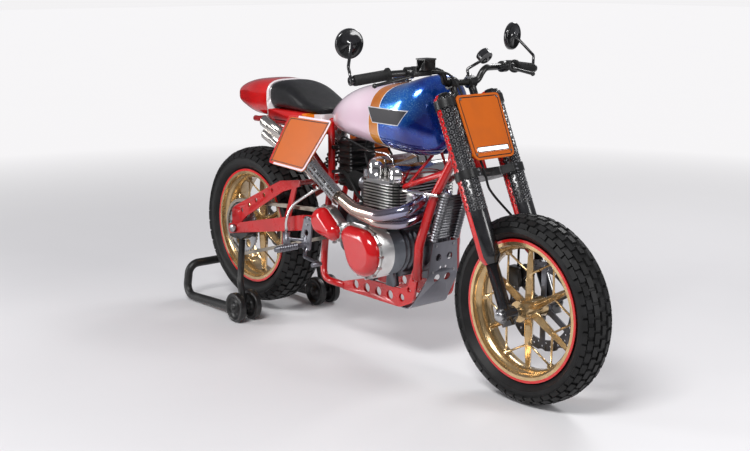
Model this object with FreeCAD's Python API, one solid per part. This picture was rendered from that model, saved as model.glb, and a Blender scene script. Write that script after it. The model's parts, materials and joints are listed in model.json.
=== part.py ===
import FreeCAD, Part
import math
import os

# A flat-track styled cafe racer motorcycle, held upright by its rear paddock stand.
# Lengths are millimetres. While it is modelled the rear axle lies over x = 0, +X points forwards,
# +Y to the rider's left and +Z up from the floor. Every finished solid is then moved along X, so that
# the origin lies on the floor under the middle of the machine's length.

V = FreeCAD.Vector
SIDES = (-1, 1)

# Clearances: FIT between parts that are bolted together, RUNNING round a turning shaft
FIT = 0.3
RUNNING = 0.08

# Wheels and tyres
WHEELBASE = 1490.0
RIM_LIP_R = 232.0
BEAD_R = 218.0
RIM_WELL_R = 196.0
FLANGE_THICK = 5.0
FRONT_TYRE_R = 306.0
FRONT_TYRE_HALF = 60.0
FRONT_RIM_HALF = 46.0
FRONT_HUB_HALF = 52.0
REAR_TYRE_R = 318.0
REAR_TYRE_HALF = 82.0
REAR_RIM_HALF = 66.0
REAR_HUB_HALF = 62.0
REAR_LIFT = 28.0
SPOKE_COUNT = 6
HUB_R = 34.0
AXLE_R = 10.0

FRONT_AXLE = V(WHEELBASE, 0, FRONT_TYRE_R)
REAR_AXLE = V(0, 0, REAR_TYRE_R + REAR_LIFT)

# Brake discs, both on the left
DISC_THICK = 5.0
FRONT_DISC_R = 150.0
FRONT_DISC_Y = 62.0
CALIPER_HIGH = 66.0
REAR_DISC_R = 110.0
REAR_DISC_Y = 72.0

# Steering head and upside-down fork, measured up the fork from the front axle
RAKE = math.radians(24.5)
YOKE_OFFSET = 45.0
FORK_HALF = 104.0
FORK_TUBE_R = 35.0
FORK_LEG_R = 20.5
FOOT_HALF = FORK_LEG_R + 4
FORK_TOP = 730.0
FORK_TUBE_LOW = 190.0
UPPER_YOKE = 684.0
LOWER_YOKE = 444.0
YOKE_THICK = 28.0
STEM_R = 15.0
HEAD_TUBE_R = 27.0
YOKE_PLAY = 5.0
UP = V(-math.sin(RAKE), 0, math.cos(RAKE))
AHEAD = V(math.cos(RAKE), 0, math.sin(RAKE))

# Handlebar and controls, given for the left side
BAR_R = 11.0
BAR_CLAMP = V(1160, 43, 1003)
BAR_BEND_IN = V(1160, 74, 1003)
BAR_BEND_OUT = V(1170, 94, 1048)
BAR_GRIP_IN = V(1130, 268, 1043)
BAR_END = V(1099, 400, 1027)
GRIP_R = 16.5
GRIP_LENGTH = 122.0
PERCH_OUT = 122.0
MASTER_LENGTH = 60.0
MASTER_AHEAD = V(25, 0, 0)
LEVER_ELBOW = V(1178, 236, 1036)
LEVER_TIP = V(1146, 356, 1012)
MIRROR_R = 48.0
MIRROR_CENTRE = V(1035, 367, 1137)
MIRROR_BOSS_R = 4.4
MIRROR_BOSS_DEEP = 16.0

# Front number plate
PLATE_HALF = 96.0
PLATE_LOW = 493.0
PLATE_HIGH = 712.0
PLATE_THICK = 4.0
PLATE_GAP = FORK_TUBE_R + 5
YOKE_FRONT = PLATE_GAP - 1
LAMP_LOW = PLATE_LOW + 24
LAMP_HIGH = PLATE_LOW + 42
LAMP_HALF = 70.0

# Frame
TUBE_R = 16.0
BACKBONE_R = 22.0
BACKBONE_Z = 835.0
BACKBONE_REAR = 548.0
RAIL_Y = 88.0
RAIL_BOTTOM = 215.0
RAIL_TOP = 281.0
RAIL_THICK = 10.0
COOLER_HALF = 50.0
UPRIGHT_Y = 66.0
UPRIGHT_R = 13.0
SUBFRAME_Y = 90.0
SUBFRAME_R = 11.0
SUBFRAME_Z = 796.0
SUBFRAME_REAR = 90.0

# Swingarm, chain and shock
PIVOT = V(516, 0, 452)
ARM_INNER = 112.0
ARM_WIDE = 30.0
ARM_HIGH_FRONT = 58.0
ARM_HIGH_REAR = 42.0
CHAIN_Y = -98.0
CHAIN_PITCH = 15.875
CHAIN_HIGH = 13.0
CHAIN_WIDE = 16.0
CHAIN_PLATE = 2.4
ROLLER_R = 4.6
REAR_TEETH = 43
FRONT_TEETH = 17
FRONT_SPROCKET = V(600, CHAIN_Y, 454)
SPROCKET_THICK = 6.0
SPROCKET_PLAY = 1.4

# Engine
CASE_HALF = 108.0
CASE_INNER = 86.0
CRANK = V(925, 0, 418)
CRANK_CASE_R = 80.0
BARREL_LOW = 500.0
HEAD_LOW = 566.0
HEAD_TOP = 652.0
HEAD_REAR = 800.0
HEAD_FRONT = 1000.0
HEAD_HALF = 143.0
BARREL_HALF = 128.0
FIN_PITCH = 10.5
FIN_THICK = 4.0
FIN_DEEP = 16.0
PORT_Y = 65.0
PORT_Z = 606.0
INLET_Y = 58.0
INLET_Z = 618.0
CAM_X = (856.0, 966.0)
CAM_TOP = (732.0, 718.0)
CAM_HALF_WIDE = 34.0
CASE_RIB = 6.0
COVER_WALL = 160.0
COVER_FACE = 204.0
CLUTCH = ((862, 402), 84, (794, 450), 38)
SPROCKET_COVER = ((606, 472), 50, (668, 444), 34)

# Tank, seat and tail
TANK_TUNNEL_HALF = 30.0
SEAT_BASE_Z = SUBFRAME_Z + SUBFRAME_R + FIT
SEAT_BASE_TOP = 842.0
SEAT_BASE_HALF = 104.0
SEAT_REAR = 190.0
SEAT_FRONT = 498.0

# Exhaust
PIPE_R = 20.0
PIPE_WALL = 1.8
SHIELD_R = 30.0

# Foot controls
PEG = V(500, 0, 366)
HANGER_Y = 148.0

# Paddock stand
STAND_TUBE_R = 17.0
STAND_HALF = 197.0
STAND_REAR = -300.0
HANDLE_X = -282.0
HANDLE_Z = 150.0
ROLLER_X = 138.0
STAND_ROLLER_R = 59.0
STAND_ROLLER_WIDE = 26.0
STAND_ROLLER_GAP = 36.0
STUB_R = 8.0

SHIFT = -(WHEELBASE + FRONT_TYRE_R - REAR_TYRE_R) / 2


# Shapes that several parts use

def cylinder(a, b, r):
    axis = b - a
    return Part.makeCylinder(r, axis.Length, a, axis)


def ring(a, b, outer, inner):
    return cylinder(a, b, outer).cut(cylinder(a, b, inner))


def block(centre, dx, dy, dz):
    return Part.makeBox(dx, dy, dz, centre - V(dx / 2, dy / 2, dz / 2))


def side(point, s):
    """The same place on the left (s = 1) or the right (s = -1)."""
    return V(point.x, point.y * s, point.z)


def fuse(shapes):
    return shapes[0].multiFuse(shapes[1:]).removeSplitter()


def rounded(points, radius, closed=True):
    """A wire through the points with an arc at each corner. radius is one number, or one for each point."""
    count = len(points)
    radii = radius if isinstance(radius, (list, tuple)) else [radius] * count
    corners = []
    for i, point in enumerate(points):
        r = radii[i]
        if r <= 0 or (not closed and i in (0, count - 1)):
            corners.append((point, None, point))
            continue
        before = (points[i - 1] - point).normalize()
        after = (points[(i + 1) % count] - point).normalize()
        half = before.getAngle(after) / 2
        bisector = (before + after).normalize()
        back = r / math.tan(half)
        middle = point + bisector * (r / math.sin(half) - r)
        corners.append((point + before * back, middle, point + after * back))
    edges = []
    for i in range(count):
        start, middle, end = corners[i]
        if middle is not None:
            edges.append(Part.Arc(start, middle, end).toShape())
        if i == count - 1 and not closed:
            break
        following = corners[(i + 1) % count][0]
        if (following - end).Length > 1e-6:
            edges.append(Part.LineSegment(end, following).toShape())
    return Part.Wire(edges)


def bar(points, r, bend=0):
    """A round bar along straight runs that are joined by tangent arcs."""
    path = rounded(points, bend, closed=False)
    circle = Part.Wire(Part.Circle(points[0], points[1] - points[0], r).toShape())
    return path.makePipeShell([circle], True, False)


def tube(points, r, wall, bend):
    return bar(points, r, bend).cut(bar(points, r - wall, bend))


def panel(outline, y_one, y_two, radius):
    """A flat plate with an outline of (x, z) points, between two values of y."""
    low, high = sorted((y_one, y_two))
    wire = rounded([V(x, low, z) for x, z in outline], radius)
    return Part.Face(wire).extrude(V(0, high - low, 0))


def egg(c1, r1, c2, r2, y_one, y_two):
    """A plate whose outline wraps a circle round (x, z) c1 and another round c2."""
    low, high = sorted((y_one, y_two))
    heading = math.atan2(c2[1] - c1[1], c2[0] - c1[0])
    lean = math.acos((r1 - r2) / math.hypot(c2[0] - c1[0], c2[1] - c1[1]))

    def on(c, r, angle):
        return V(c[0] + r * math.cos(angle), low, c[1] + r * math.sin(angle))

    edges = [Part.LineSegment(on(c1, r1, heading + lean), on(c2, r2, heading + lean)).toShape(),
             Part.Arc(on(c2, r2, heading + lean), on(c2, r2, heading), on(c2, r2, heading - lean)).toShape(),
             Part.LineSegment(on(c2, r2, heading - lean), on(c1, r1, heading - lean)).toShape(),
             Part.Arc(on(c1, r1, heading - lean), on(c1, r1, heading + math.pi),
                      on(c1, r1, heading + lean)).toShape()]
    return Part.Face(Part.Wire(edges)).extrude(V(0, high - low, 0))


def edges_at_y(shape, y):
    return [e for e in shape.Edges if abs(e.BoundBox.YMin - y) < 1e-3 and abs(e.BoundBox.YMax - y) < 1e-3]


def oval(x, half, low, high, power=2.5, lean=0.0, count=16):
    """A closed rounded outline across the machine at x. lean moves its top back by that much."""
    middle, tall = (low + high) / 2, (high - low) / 2
    points = []
    for i in range(count):
        a = 2 * math.pi * i / count
        y = half * math.copysign(abs(math.cos(a)) ** (2 / power), math.cos(a))
        z = middle + tall * math.copysign(abs(math.sin(a)) ** (2 / power), math.sin(a))
        points.append(V(x - lean * (z - low) / (high - low), y, z))
    curve = Part.BSplineCurve()
    curve.interpolate(points, PeriodicFlag=True)
    return Part.Wire(curve.toShape())


def turned(profile, centre):
    """Revolves (radius, y) points about the axle through centre."""
    points = [V(centre.x, centre.y + y, centre.z + r) for r, y in profile]
    return Part.Face(Part.makePolygon(points + points[:1])).revolve(centre, V(0, 1, 0), 360)


def fork_point(s, y=0.0, ahead=0.0):
    """A point s up the fork from the axle, y to the left and ahead of the line of the legs."""
    return FRONT_AXLE + UP * s + AHEAD * ahead + V(0, y, 0)


def steer_point(s, y=0.0):
    return fork_point(s, y, -YOKE_OFFSET)


def head_point(z, y=0.0, behind=0.0):
    """A point behind the steering axis at the height z."""
    foot = steer_point(0)
    return V(foot.x + (z - foot.z) * UP.x / UP.z - behind, y, z)


def cable(points, r):
    """A hose or cable whose bends are as wide as the runs between them allow."""
    bends = [0]
    for before, here, after in zip(points, points[1:], points[2:]):
        turn = (here - before).getAngle(after - here)
        shorter = min((here - before).Length, (after - here).Length)
        bends.append(0.45 * shorter / math.tan(turn / 2))
    return bar(points, r, bends + [0])


# Wheels

def tyre(centre, outer, half, rim_half):
    """An open-beaded tyre, turned as one solid, whose beads sit inside the rim's flanges."""
    def at(r, y):
        return V(centre.x, y, centre.z + r)

    bead = rim_half - 2 * FLANGE_THICK
    wide_r = (outer + BEAD_R) / 2 - 4
    neck_r = RIM_LIP_R + 2
    outside = [(neck_r, -bead), (neck_r + 9, -rim_half - 2), (wide_r, -half), (outer - half * 0.33, -half * 0.8),
               (outer, 0)]
    outside += [(r, -y) for r, y in reversed(outside[:-1])]
    inside = [(neck_r, bead - 8), (wide_r, half - 9), (outer - 15, 0), (wide_r, -half + 9), (neck_r, -bead + 8)]
    crown = Part.BSplineCurve()
    crown.interpolate([at(r, y) for r, y in outside])
    lining = Part.BSplineCurve()
    lining.interpolate([at(r, y) for r, y in inside])
    feet = Part.makePolygon([at(neck_r, bead), at(BEAD_R, bead), at(BEAD_R, bead - 8), at(neck_r, bead - 8)])
    other = Part.makePolygon([at(neck_r, -bead + 8), at(BEAD_R, -bead + 8), at(BEAD_R, -bead), at(neck_r, -bead)])
    wire = Part.Wire([crown.toShape()] + feet.Edges + [lining.toShape()] + other.Edges)
    return Part.Face(wire).revolve(centre, V(0, 1, 0), 360)


def spoke(centre, angle, root_r, tip_r):
    """One tapered blade from the hub to the rim, with a ridge along each face."""
    out = V(math.cos(angle), 0, math.sin(angle))
    across = V(-math.sin(angle), 0, math.cos(angle))

    def section(r, wide, deep):
        base = centre + out * r
        corners = [base + across * wide, base + V(0, deep, 0), base - across * wide, base - V(0, deep, 0)]
        return Part.makePolygon(corners + corners[:1])

    return Part.makeLoft([section(root_r, 15, 24), section(tip_r, 8, 13)], True, True)


def wheel(centre, rim_half, hub_half):
    """A wheel with a drop-centre rim and six bladed spokes, tied to the rim by thin vee braces."""
    flange = rim_half - FLANGE_THICK
    seat_r = BEAD_R - FIT
    outside = [(RIM_LIP_R, rim_half), (RIM_LIP_R, flange), (seat_r, flange - 4), (seat_r, flange - 15),
               (RIM_WELL_R + 5, flange - 27)]
    inside = [(RIM_WELL_R, flange - 24), (BEAD_R - 8, flange - 10), (BEAD_R - 5, rim_half)]
    profile = outside + [(r, -y) for r, y in reversed(outside)]
    profile += [(r, -y) for r, y in reversed(inside)] + inside
    pieces = [turned(profile, centre),
              cylinder(centre - V(0, hub_half, 0), centre + V(0, hub_half, 0), HUB_R)]
    step = 2 * math.pi / SPOKE_COUNT
    brace_r = (RIM_WELL_R + HUB_R) / 2
    for i in range(SPOKE_COUNT):
        angle = math.pi / 2 + i * step
        pieces.append(spoke(centre, angle, HUB_R - 8, RIM_WELL_R + 2))
        lug = centre + V(math.cos(angle + step / 2), 0, math.sin(angle + step / 2)) * (RIM_WELL_R - 2)
        pieces.append(cylinder(lug - V(0, 8, 0), lug + V(0, 8, 0), 9))
        for root_angle in (angle, angle + step):
            root = centre + V(math.cos(root_angle), 0, math.sin(root_angle)) * brace_r
            pieces.append(cylinder(root, lug, 3.6))
    bore = cylinder(centre - V(0, hub_half + 1, 0), centre + V(0, hub_half + 1, 0), AXLE_R + RUNNING)
    return fuse(pieces).cut(bore)


def strut(start, end, half, thick):
    """A flat strip from start to end across the axle, thick towards +Y."""
    along = (end - start).normalize()
    across = V(-along.z, 0, along.x) * half
    corners = [start + across, end + across, end - across, start - across]
    return Part.Face(Part.makePolygon(corners + corners[:1])).extrude(V(0, thick, 0))


def disc(centre, y_low, outer, hub_half):
    """A drilled brake disc with a waved edge, whose carrier reaches in to the hub's face."""
    start, end = centre + V(0, y_low, 0), centre + V(0, y_low + DISC_THICK, 0)
    drills = []
    for row, r in enumerate((outer - 15, outer - 27)):
        for i in range(24):
            angle = 2 * math.pi * (i + row / 2) / 24
            place = start + V(math.cos(angle) * r, -1, math.sin(angle) * r)
            drills.append(Part.makeCylinder(4, DISC_THICK + 2, place, V(0, 1, 0)))
    for i in range(12):
        angle = 2 * math.pi * i / 12
        place = start + V(math.cos(angle) * (outer + 21), -1, math.sin(angle) * (outer + 21))
        drills.append(Part.makeCylinder(26, DISC_THICK + 2, place, V(0, 1, 0)))
    pieces = [ring(start, end, outer, outer - 36).cut(Part.makeCompound(drills)),
              ring(centre + V(0, hub_half, 0), end, HUB_R, AXLE_R + 12)]
    for i in range(SPOKE_COUNT):
        angle = 2 * math.pi * (i + 0.5) / SPOKE_COUNT
        out = V(math.cos(angle), 0, math.sin(angle))
        pieces.append(strut(start + out * (HUB_R - 8), start + out * (outer - 30), 10, DISC_THICK))
    return fuse(pieces)


# Fork and steering

def yokes():
    """Upper and lower yoke on the steering stem, with the two risers of the handlebar."""
    pieces = [cylinder(steer_point(LOWER_YOKE), steer_point(UPPER_YOKE + YOKE_THICK + 6), STEM_R)]
    for s in (LOWER_YOKE, UPPER_YOKE):
        left = [fork_point(s, FORK_HALF, -26), fork_point(s, FORK_HALF, YOKE_FRONT), fork_point(s, 72, YOKE_FRONT),
                fork_point(s, 40, 10)]
        right = [side(p, -1) for p in reversed(left)]
        back = [steer_point(s, y) - AHEAD * 24 for y in (-26, 26)]
        bends = [0, 0, 8, 16]
        outline = rounded(back + left + right, [10, 10] + bends + bends[::-1])
        pieces.append(Part.Face(outline).extrude(UP * YOKE_THICK))
        for y in (-FORK_HALF, FORK_HALF):
            pieces.append(cylinder(fork_point(s, y), fork_point(s + YOKE_THICK, y), YOKE_FRONT))
    for s in SIDES:
        clamp = side(BAR_CLAMP, s)
        foot = fork_point(UPPER_YOKE + YOKE_THICK - 2, BAR_CLAMP.y * s, -10)
        pieces.append(cylinder(foot, clamp - UP * BAR_R, 13))
        pieces.append(cylinder(clamp - V(0, 14, 0), clamp + V(0, 14, 0), BAR_R + 9))
    solid = fuse(pieces)
    for y in (-FORK_HALF, FORK_HALF):
        solid = solid.cut(cylinder(fork_point(LOWER_YOKE - 9, y), fork_point(FORK_TOP + 9, y), FORK_TUBE_R + FIT))
    return solid.cut(cylinder(side(BAR_BEND_IN, -1), BAR_BEND_IN, BAR_R + FIT))


def fork_tubes():
    """The wide upper tubes of the fork, with a cap on top and a tapered seal collar below."""
    legs = []
    for y in (-FORK_HALF, FORK_HALF):
        leg = fuse([cylinder(fork_point(FORK_TUBE_LOW, y), fork_point(FORK_TOP - 8, y), FORK_TUBE_R),
                    cylinder(fork_point(FORK_TOP - 8, y), fork_point(FORK_TOP, y), FORK_TUBE_R - 7),
                    Part.makeCone(FORK_LEG_R + 3, FORK_TUBE_R, 24, fork_point(FORK_TUBE_LOW - 24, y), UP)])
        legs.append(leg.cut(cylinder(fork_point(FORK_TUBE_LOW - 25, y), fork_point(FORK_TUBE_LOW + 90, y),
                                     FORK_LEG_R + FIT)))
    return legs


def fork_legs():
    """The sliding lower legs with the feet that clamp the axle."""
    legs = []
    for y in (-FORK_HALF, FORK_HALF):
        leg = fuse([cylinder(fork_point(10, y), fork_point(FORK_TUBE_LOW + 80, y), FORK_LEG_R),
                    cylinder(fork_point(-36, y), fork_point(28, y), FORK_LEG_R + 3),
                    cylinder(FRONT_AXLE + V(0, y - FOOT_HALF, 0), FRONT_AXLE + V(0, y + FOOT_HALF, 0), 26)])
        legs.append(leg.cut(cylinder(FRONT_AXLE + V(0, y - 40, 0), FRONT_AXLE + V(0, y + 40, 0), AXLE_R + FIT)))
    return legs


def axle(centre, inner, outer, hub_half):
    """A wheel axle with a spacer each side of the hub and a head outside each carrier."""
    reach = outer + 14
    pieces = [cylinder(centre - V(0, reach, 0), centre + V(0, reach, 0), AXLE_R)]
    for s in SIDES:
        pieces.append(cylinder(centre + V(0, s * (hub_half + 1), 0), centre + V(0, s * (inner - FIT), 0), 14))
        pieces.append(cylinder(centre + V(0, s * (outer + FIT), 0), centre + V(0, s * reach, 0), 16))
    return fuse(pieces)


def handlebar():
    half = [BAR_END, BAR_GRIP_IN, BAR_BEND_OUT, BAR_BEND_IN]
    route = [side(p, -1) for p in half] + half[::-1]
    return bar(route, BAR_R, [0, 60, 34, 24, 24, 34, 60, 0])


def grips():
    """Rubber grips with a flange at the inner end."""
    solids = []
    axis = (BAR_END - BAR_GRIP_IN).normalize()
    for s in SIDES:
        start, end = side(BAR_END - axis * GRIP_LENGTH, s), side(BAR_END + axis * 2, s)
        along = (end - start).normalize()
        solid = fuse([cylinder(start, end, GRIP_R), cylinder(start, start + along * 7, GRIP_R + 6)])
        solids.append(solid.cut(cylinder(start - along * 5, side(BAR_END, s) + along * FIT, BAR_R + FIT)))
    return solids


def perches():
    """Lever clamps with their levers. Each has a tapped boss for a stalk mirror. The right one carries
    the brake master cylinder and its reservoir."""
    axis = (BAR_GRIP_IN - BAR_BEND_OUT).normalize()
    middle = BAR_BEND_OUT + axis * PERCH_OUT
    solids = []
    for s in SIDES:
        boss_top = side(middle + V(26, 0, 22), s)
        inboard = side(middle - axis * MASTER_LENGTH, s)
        pieces = [cylinder(side(middle - axis * 13, s), side(middle + axis * 13, s), BAR_R + 8),
                  block(side(middle + V(20, 0, 0), s), 26, 26, 22),
                  bar([side(middle + V(26, 0, -3), s), side(LEVER_ELBOW, s), side(LEVER_TIP, s)], 5.5, 20),
                  Part.makeSphere(8, side(LEVER_TIP, s))]
        if s < 0:
            pieces.append(cylinder(side(middle, s) + MASTER_AHEAD, inboard + MASTER_AHEAD, 11))
            pieces.append(block(inboard + V(27, -22, 24), 38, 46, 32))
            pieces.append(block(inboard + V(27, -22, 42.5), 42, 50, 5))
        else:
            pieces.append(cylinder(side(middle, s) + V(24, 0, 0), inboard + V(24, 0, 0), 7))
        body = pieces[0].multiFuse(pieces[1:])
        body = body.cut(cylinder(side(middle - axis * 88, s), side(middle + axis * 52, s), BAR_R + FIT))
        boss = cylinder(boss_top - V(0, 0, 30), boss_top, 10)
        tapped = boss.cut(cylinder(boss_top - V(0, 0, MIRROR_BOSS_DEEP), boss_top + V(0, 0, 1), MIRROR_BOSS_R))
        solids.append(body.cut(boss).fuse(tapped))
    return solids


def mirrors():
    """Round bar-end mirrors on cranked stems."""
    solids = []
    axis = (BAR_END - BAR_GRIP_IN).normalize()
    for s in SIDES:
        inner = side(BAR_END + axis * (2 + FIT), s)
        outer = side(BAR_END + axis * 16, s)
        foot = side(BAR_END + axis * 9, s)
        normal = V(-1, -0.22 * s, 0.06).normalize()
        back = side(MIRROR_CENTRE, s) - normal * 7
        shell = cylinder(back, back + normal * 14, MIRROR_R)
        rim = [e for e in shell.Edges if (e.CenterOfMass - back).Length < 1]
        stem = bar([foot, foot + V(-6, 8 * s, 44), back - normal * 6], 5, 12)
        neck = cylinder(back - normal * 10, back + normal * 2, 9)
        solids.append(fuse([cylinder(inner, outer, 14), stem, neck, shell.makeFillet(6, rim)]))
    return solids


def front_hose():
    """The brake hose: over the bar, down ahead of the yokes, then behind the left leg to the caliper."""
    axis = (BAR_GRIP_IN - BAR_BEND_OUT).normalize()
    start = side(BAR_BEND_OUT + axis * (PERCH_OUT - MASTER_LENGTH - FIT), -1) + MASTER_AHEAD
    end = caliper_centre() + V(0, 6, CALIPER_HIGH / 2 + FIT)
    route = [start, start - side(axis, -1) * 26, fork_point(790, -84, 34), fork_point(735, -48, 27),
             fork_point(560, -46, 12), fork_point(458, -46, 26), fork_point(410, -36, 10), fork_point(384, 34, -44),
             fork_point(300, FORK_HALF, -52), fork_point(236, FORK_HALF - 4, -53), end + V(0, 0, 38), end]
    return cable(route, 4)


def gauge():
    """A small round speedometer on an arm from the left riser."""
    centre = V(1166, 94, 1090)
    normal = V(-0.8, 0, 0.6)
    foot = BAR_CLAMP + UP * (BAR_R + 9 + FIT)
    return fuse([cylinder(centre - normal * 18, centre + normal * 6, 24),
                 bar([foot, foot + UP * 24, centre - normal * 16], 5, 10),
                 cylinder(foot, foot + UP * 5, 9)])


def plate_outline(low, high, half_low, half_high, ahead, radius):
    corners = [fork_point(low, -half_low, ahead), fork_point(low, half_low, ahead),
               fork_point(high, half_high, ahead), fork_point(high, -half_high, ahead)]
    return Part.Face(rounded(corners, radius))


def front_plate():
    """The number plate ahead of the fork, with a slot for its lamp and four stand-off pegs."""
    plate = plate_outline(PLATE_LOW, PLATE_HIGH, PLATE_HALF * 0.94, PLATE_HALF, PLATE_GAP, [22, 22, 14, 14])
    pieces = [plate.extrude(AHEAD * PLATE_THICK)]
    high, low = UPPER_YOKE + 14, PLATE_LOW + 20
    for s in SIDES:
        for place, y, back, r in ((high, 84, YOKE_FRONT + FIT, 8), (low, 80, 20, 6)):
            pieces.append(cylinder(fork_point(place, y * s, back), fork_point(place, y * s, PLATE_GAP + 1), r))
    slot = plate_outline(LAMP_LOW, LAMP_HIGH, LAMP_HALF, LAMP_HALF, PLATE_GAP - 1, 7)
    solid = fuse(pieces).cut(slot.extrude(AHEAD * (PLATE_THICK + 2)))
    for y in (-FORK_HALF, FORK_HALF):
        solid = solid.cut(cylinder(fork_point(PLATE_LOW - 20, y), fork_point(FORK_TOP, y), FORK_TUBE_R + FIT))
    return solid


def front_lamp():
    """The strip lamp that fills the slot."""
    face = plate_outline(LAMP_LOW + FIT, LAMP_HIGH - FIT, LAMP_HALF - FIT, LAMP_HALF - FIT, PLATE_GAP - 12, 6.5)
    return face.extrude(AHEAD * (PLATE_THICK + 14))


def caliper_centre():
    out = V(math.cos(math.radians(148)), 0, math.sin(math.radians(148)))
    return FRONT_AXLE + out * (FRONT_DISC_R - 8) + V(0, FRONT_DISC_Y + DISC_THICK / 2, 0)


def front_caliper():
    """A caliper behind the left leg that straddles the disc, on an arm from the leg."""
    centre = caliper_centre()
    middle_y = centre.y
    body = block(centre, 60, 40, CALIPER_HIGH)
    body = body.makeFillet(7, body.Edges)
    slot = cylinder(FRONT_AXLE + V(0, middle_y - 7.6, 0), FRONT_AXLE + V(0, middle_y + 7.6, 0), FRONT_DISC_R + 6)
    arm = strut(centre + V(0, 14, 0), fork_point(118, centre.y + 14, -18), 15, 8)
    solid = fuse([body.cut(slot), arm])
    return solid.cut(cylinder(fork_point(0, FORK_HALF), fork_point(300, FORK_HALF), FORK_LEG_R + FIT))


# Frame

def spine():
    """Steering head, gusset and backbone with the cross tube behind the tank."""
    low, high = steer_point(LOWER_YOKE + YOKE_THICK + YOKE_PLAY), steer_point(UPPER_YOKE - YOKE_PLAY)
    cross_z = BACKBONE_Z - 14
    corners = [head_point(772, 0, 6), head_point(840, 0, 8), head_point(BACKBONE_Z, 0, 190),
               head_point(BACKBONE_Z, 0, 190) - V(0, 0, 14), head_point(756, 0, 45)]
    gusset = [(p.x, p.z) for p in corners]
    pieces = [cylinder(low, high, HEAD_TUBE_R),
              cylinder(V(BACKBONE_REAR, 0, BACKBONE_Z), head_point(BACKBONE_Z, 0, 10), BACKBONE_R),
              panel(gusset, -5, 5, 3),
              cylinder(V(BACKBONE_REAR, -UPRIGHT_Y, cross_z), V(BACKBONE_REAR, UPRIGHT_Y, cross_z), 15)]
    return fuse(pieces).cut(cylinder(low - UP, high + UP, STEM_R + RUNNING))


def rail(s):
    """The flat bottom rail, drilled with round holes that get smaller round the front corner."""
    outline = [(640, RAIL_BOTTOM), (965, RAIL_BOTTOM), (1034, RAIL_BOTTOM + 30), (1064, 372), (1036, 372),
               (1004, RAIL_TOP + 16), (960, RAIL_TOP), (775, RAIL_TOP), (640, RAIL_BOTTOM + 28)]
    plate = panel(outline, s * (RAIL_Y - RAIL_THICK / 2), s * (RAIL_Y + RAIL_THICK / 2),
                  [8, 50, 40, 6, 6, 20, 20, 40, 8])
    holes = [(719 + i * 64, RAIL_BOTTOM + 33, 17) for i in range(4)]
    holes += [(974, RAIL_BOTTOM + 36, 14), (1012, 286, 9), (1036, 328, 8)]
    drills = [Part.makeCylinder(r, 40, V(x, s * RAIL_Y - 20, z), V(0, 1, 0)) for x, z, r in holes]
    return plate.cut(Part.makeCompound(drills))


def head_core():
    """The whole space of the steering head, with its bore."""
    return cylinder(steer_point(LOWER_YOKE), steer_point(UPPER_YOKE), HEAD_TUBE_R)


def cradle(s, spine_solid):
    """One side of the cradle: down tube with its gusset, drilled rail, rear upright and engine brace."""
    top, knee = head_point(820, 20 * s, 8), V(1104, 64 * s, 620)
    down = bar([top, knee, V(1054, 84 * s, 450), V(1050, RAIL_Y * s, 330)], TUBE_R, [0, 160, 120, 0])
    joint = knee + (top - knee) * 0.45
    corners = [joint, head_point(838, 14 * s, -12), head_point(836, 30 * s, 44)]
    gusset = Part.Face(Part.makePolygon(corners + corners[:1])).extrude(V(0, 6 * s, 0))
    cross_z = BACKBONE_Z - 14
    rear = bar([V(648, RAIL_Y * s, RAIL_BOTTOM + 14), V(520, RAIL_Y * s, RAIL_BOTTOM + 16),
                V(500, UPRIGHT_Y * s, 330), V(PIVOT.x, UPRIGHT_Y * s, PIVOT.z), V(548, UPRIGHT_Y * s, 640),
                V(BACKBONE_REAR, UPRIGHT_Y * s, cross_z)], UPRIGHT_R, [0, 50, 50, 60, 60, 0])
    boss = cylinder(V(PIVOT.x, (UPRIGHT_Y - 18) * s, PIVOT.z), V(PIVOT.x, (UPRIGHT_Y + 16) * s, PIVOT.z), 21)
    foot = V(HEAD_FRONT - 6, 106 * s, HEAD_TOP - 8)
    stay = bar([V(1058, 15 * s, BACKBONE_Z - 12), V(1052, 17 * s, 758), foot + V(14, -6 * s, 6)], 5, 20)
    brace = fuse([bar([joint, foot], 10), stay])
    brace = brace.cut(Part.makeBox(200, 400, 400, V(HEAD_FRONT + FIT - 200, -200, 500)))
    solid = fuse([down, gusset, rail(s), rear, boss, brace])
    solid = solid.cut(cylinder(PIVOT - V(0, 200, 0), PIVOT + V(0, 200, 0), AXLE_R + FIT))
    return solid.cut(head_core()).cut(spine_solid)


def subframe(uprights):
    """Seat rails with cross tubes and the stays down to the uprights."""
    pieces = [cylinder(V(x, -SUBFRAME_Y, SUBFRAME_Z), V(x, SUBFRAME_Y, SUBFRAME_Z), SUBFRAME_R - 1.5)
              for x in (SUBFRAME_REAR + 14, 360)]
    for s in SIDES:
        pieces.append(bar([V(SUBFRAME_REAR, SUBFRAME_Y * s, SUBFRAME_Z), V(470, SUBFRAME_Y * s, SUBFRAME_Z),
                           V(BACKBONE_REAR, UPRIGHT_Y * s, SUBFRAME_Z - 14)], SUBFRAME_R, 60))
        pieces.append(bar([V(350, SUBFRAME_Y * s, SUBFRAME_Z), V(BACKBONE_REAR, UPRIGHT_Y * s, 610)], 8))
    solid = fuse(pieces)
    for upright in uprights:
        solid = solid.cut(upright)
    return solid


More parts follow.
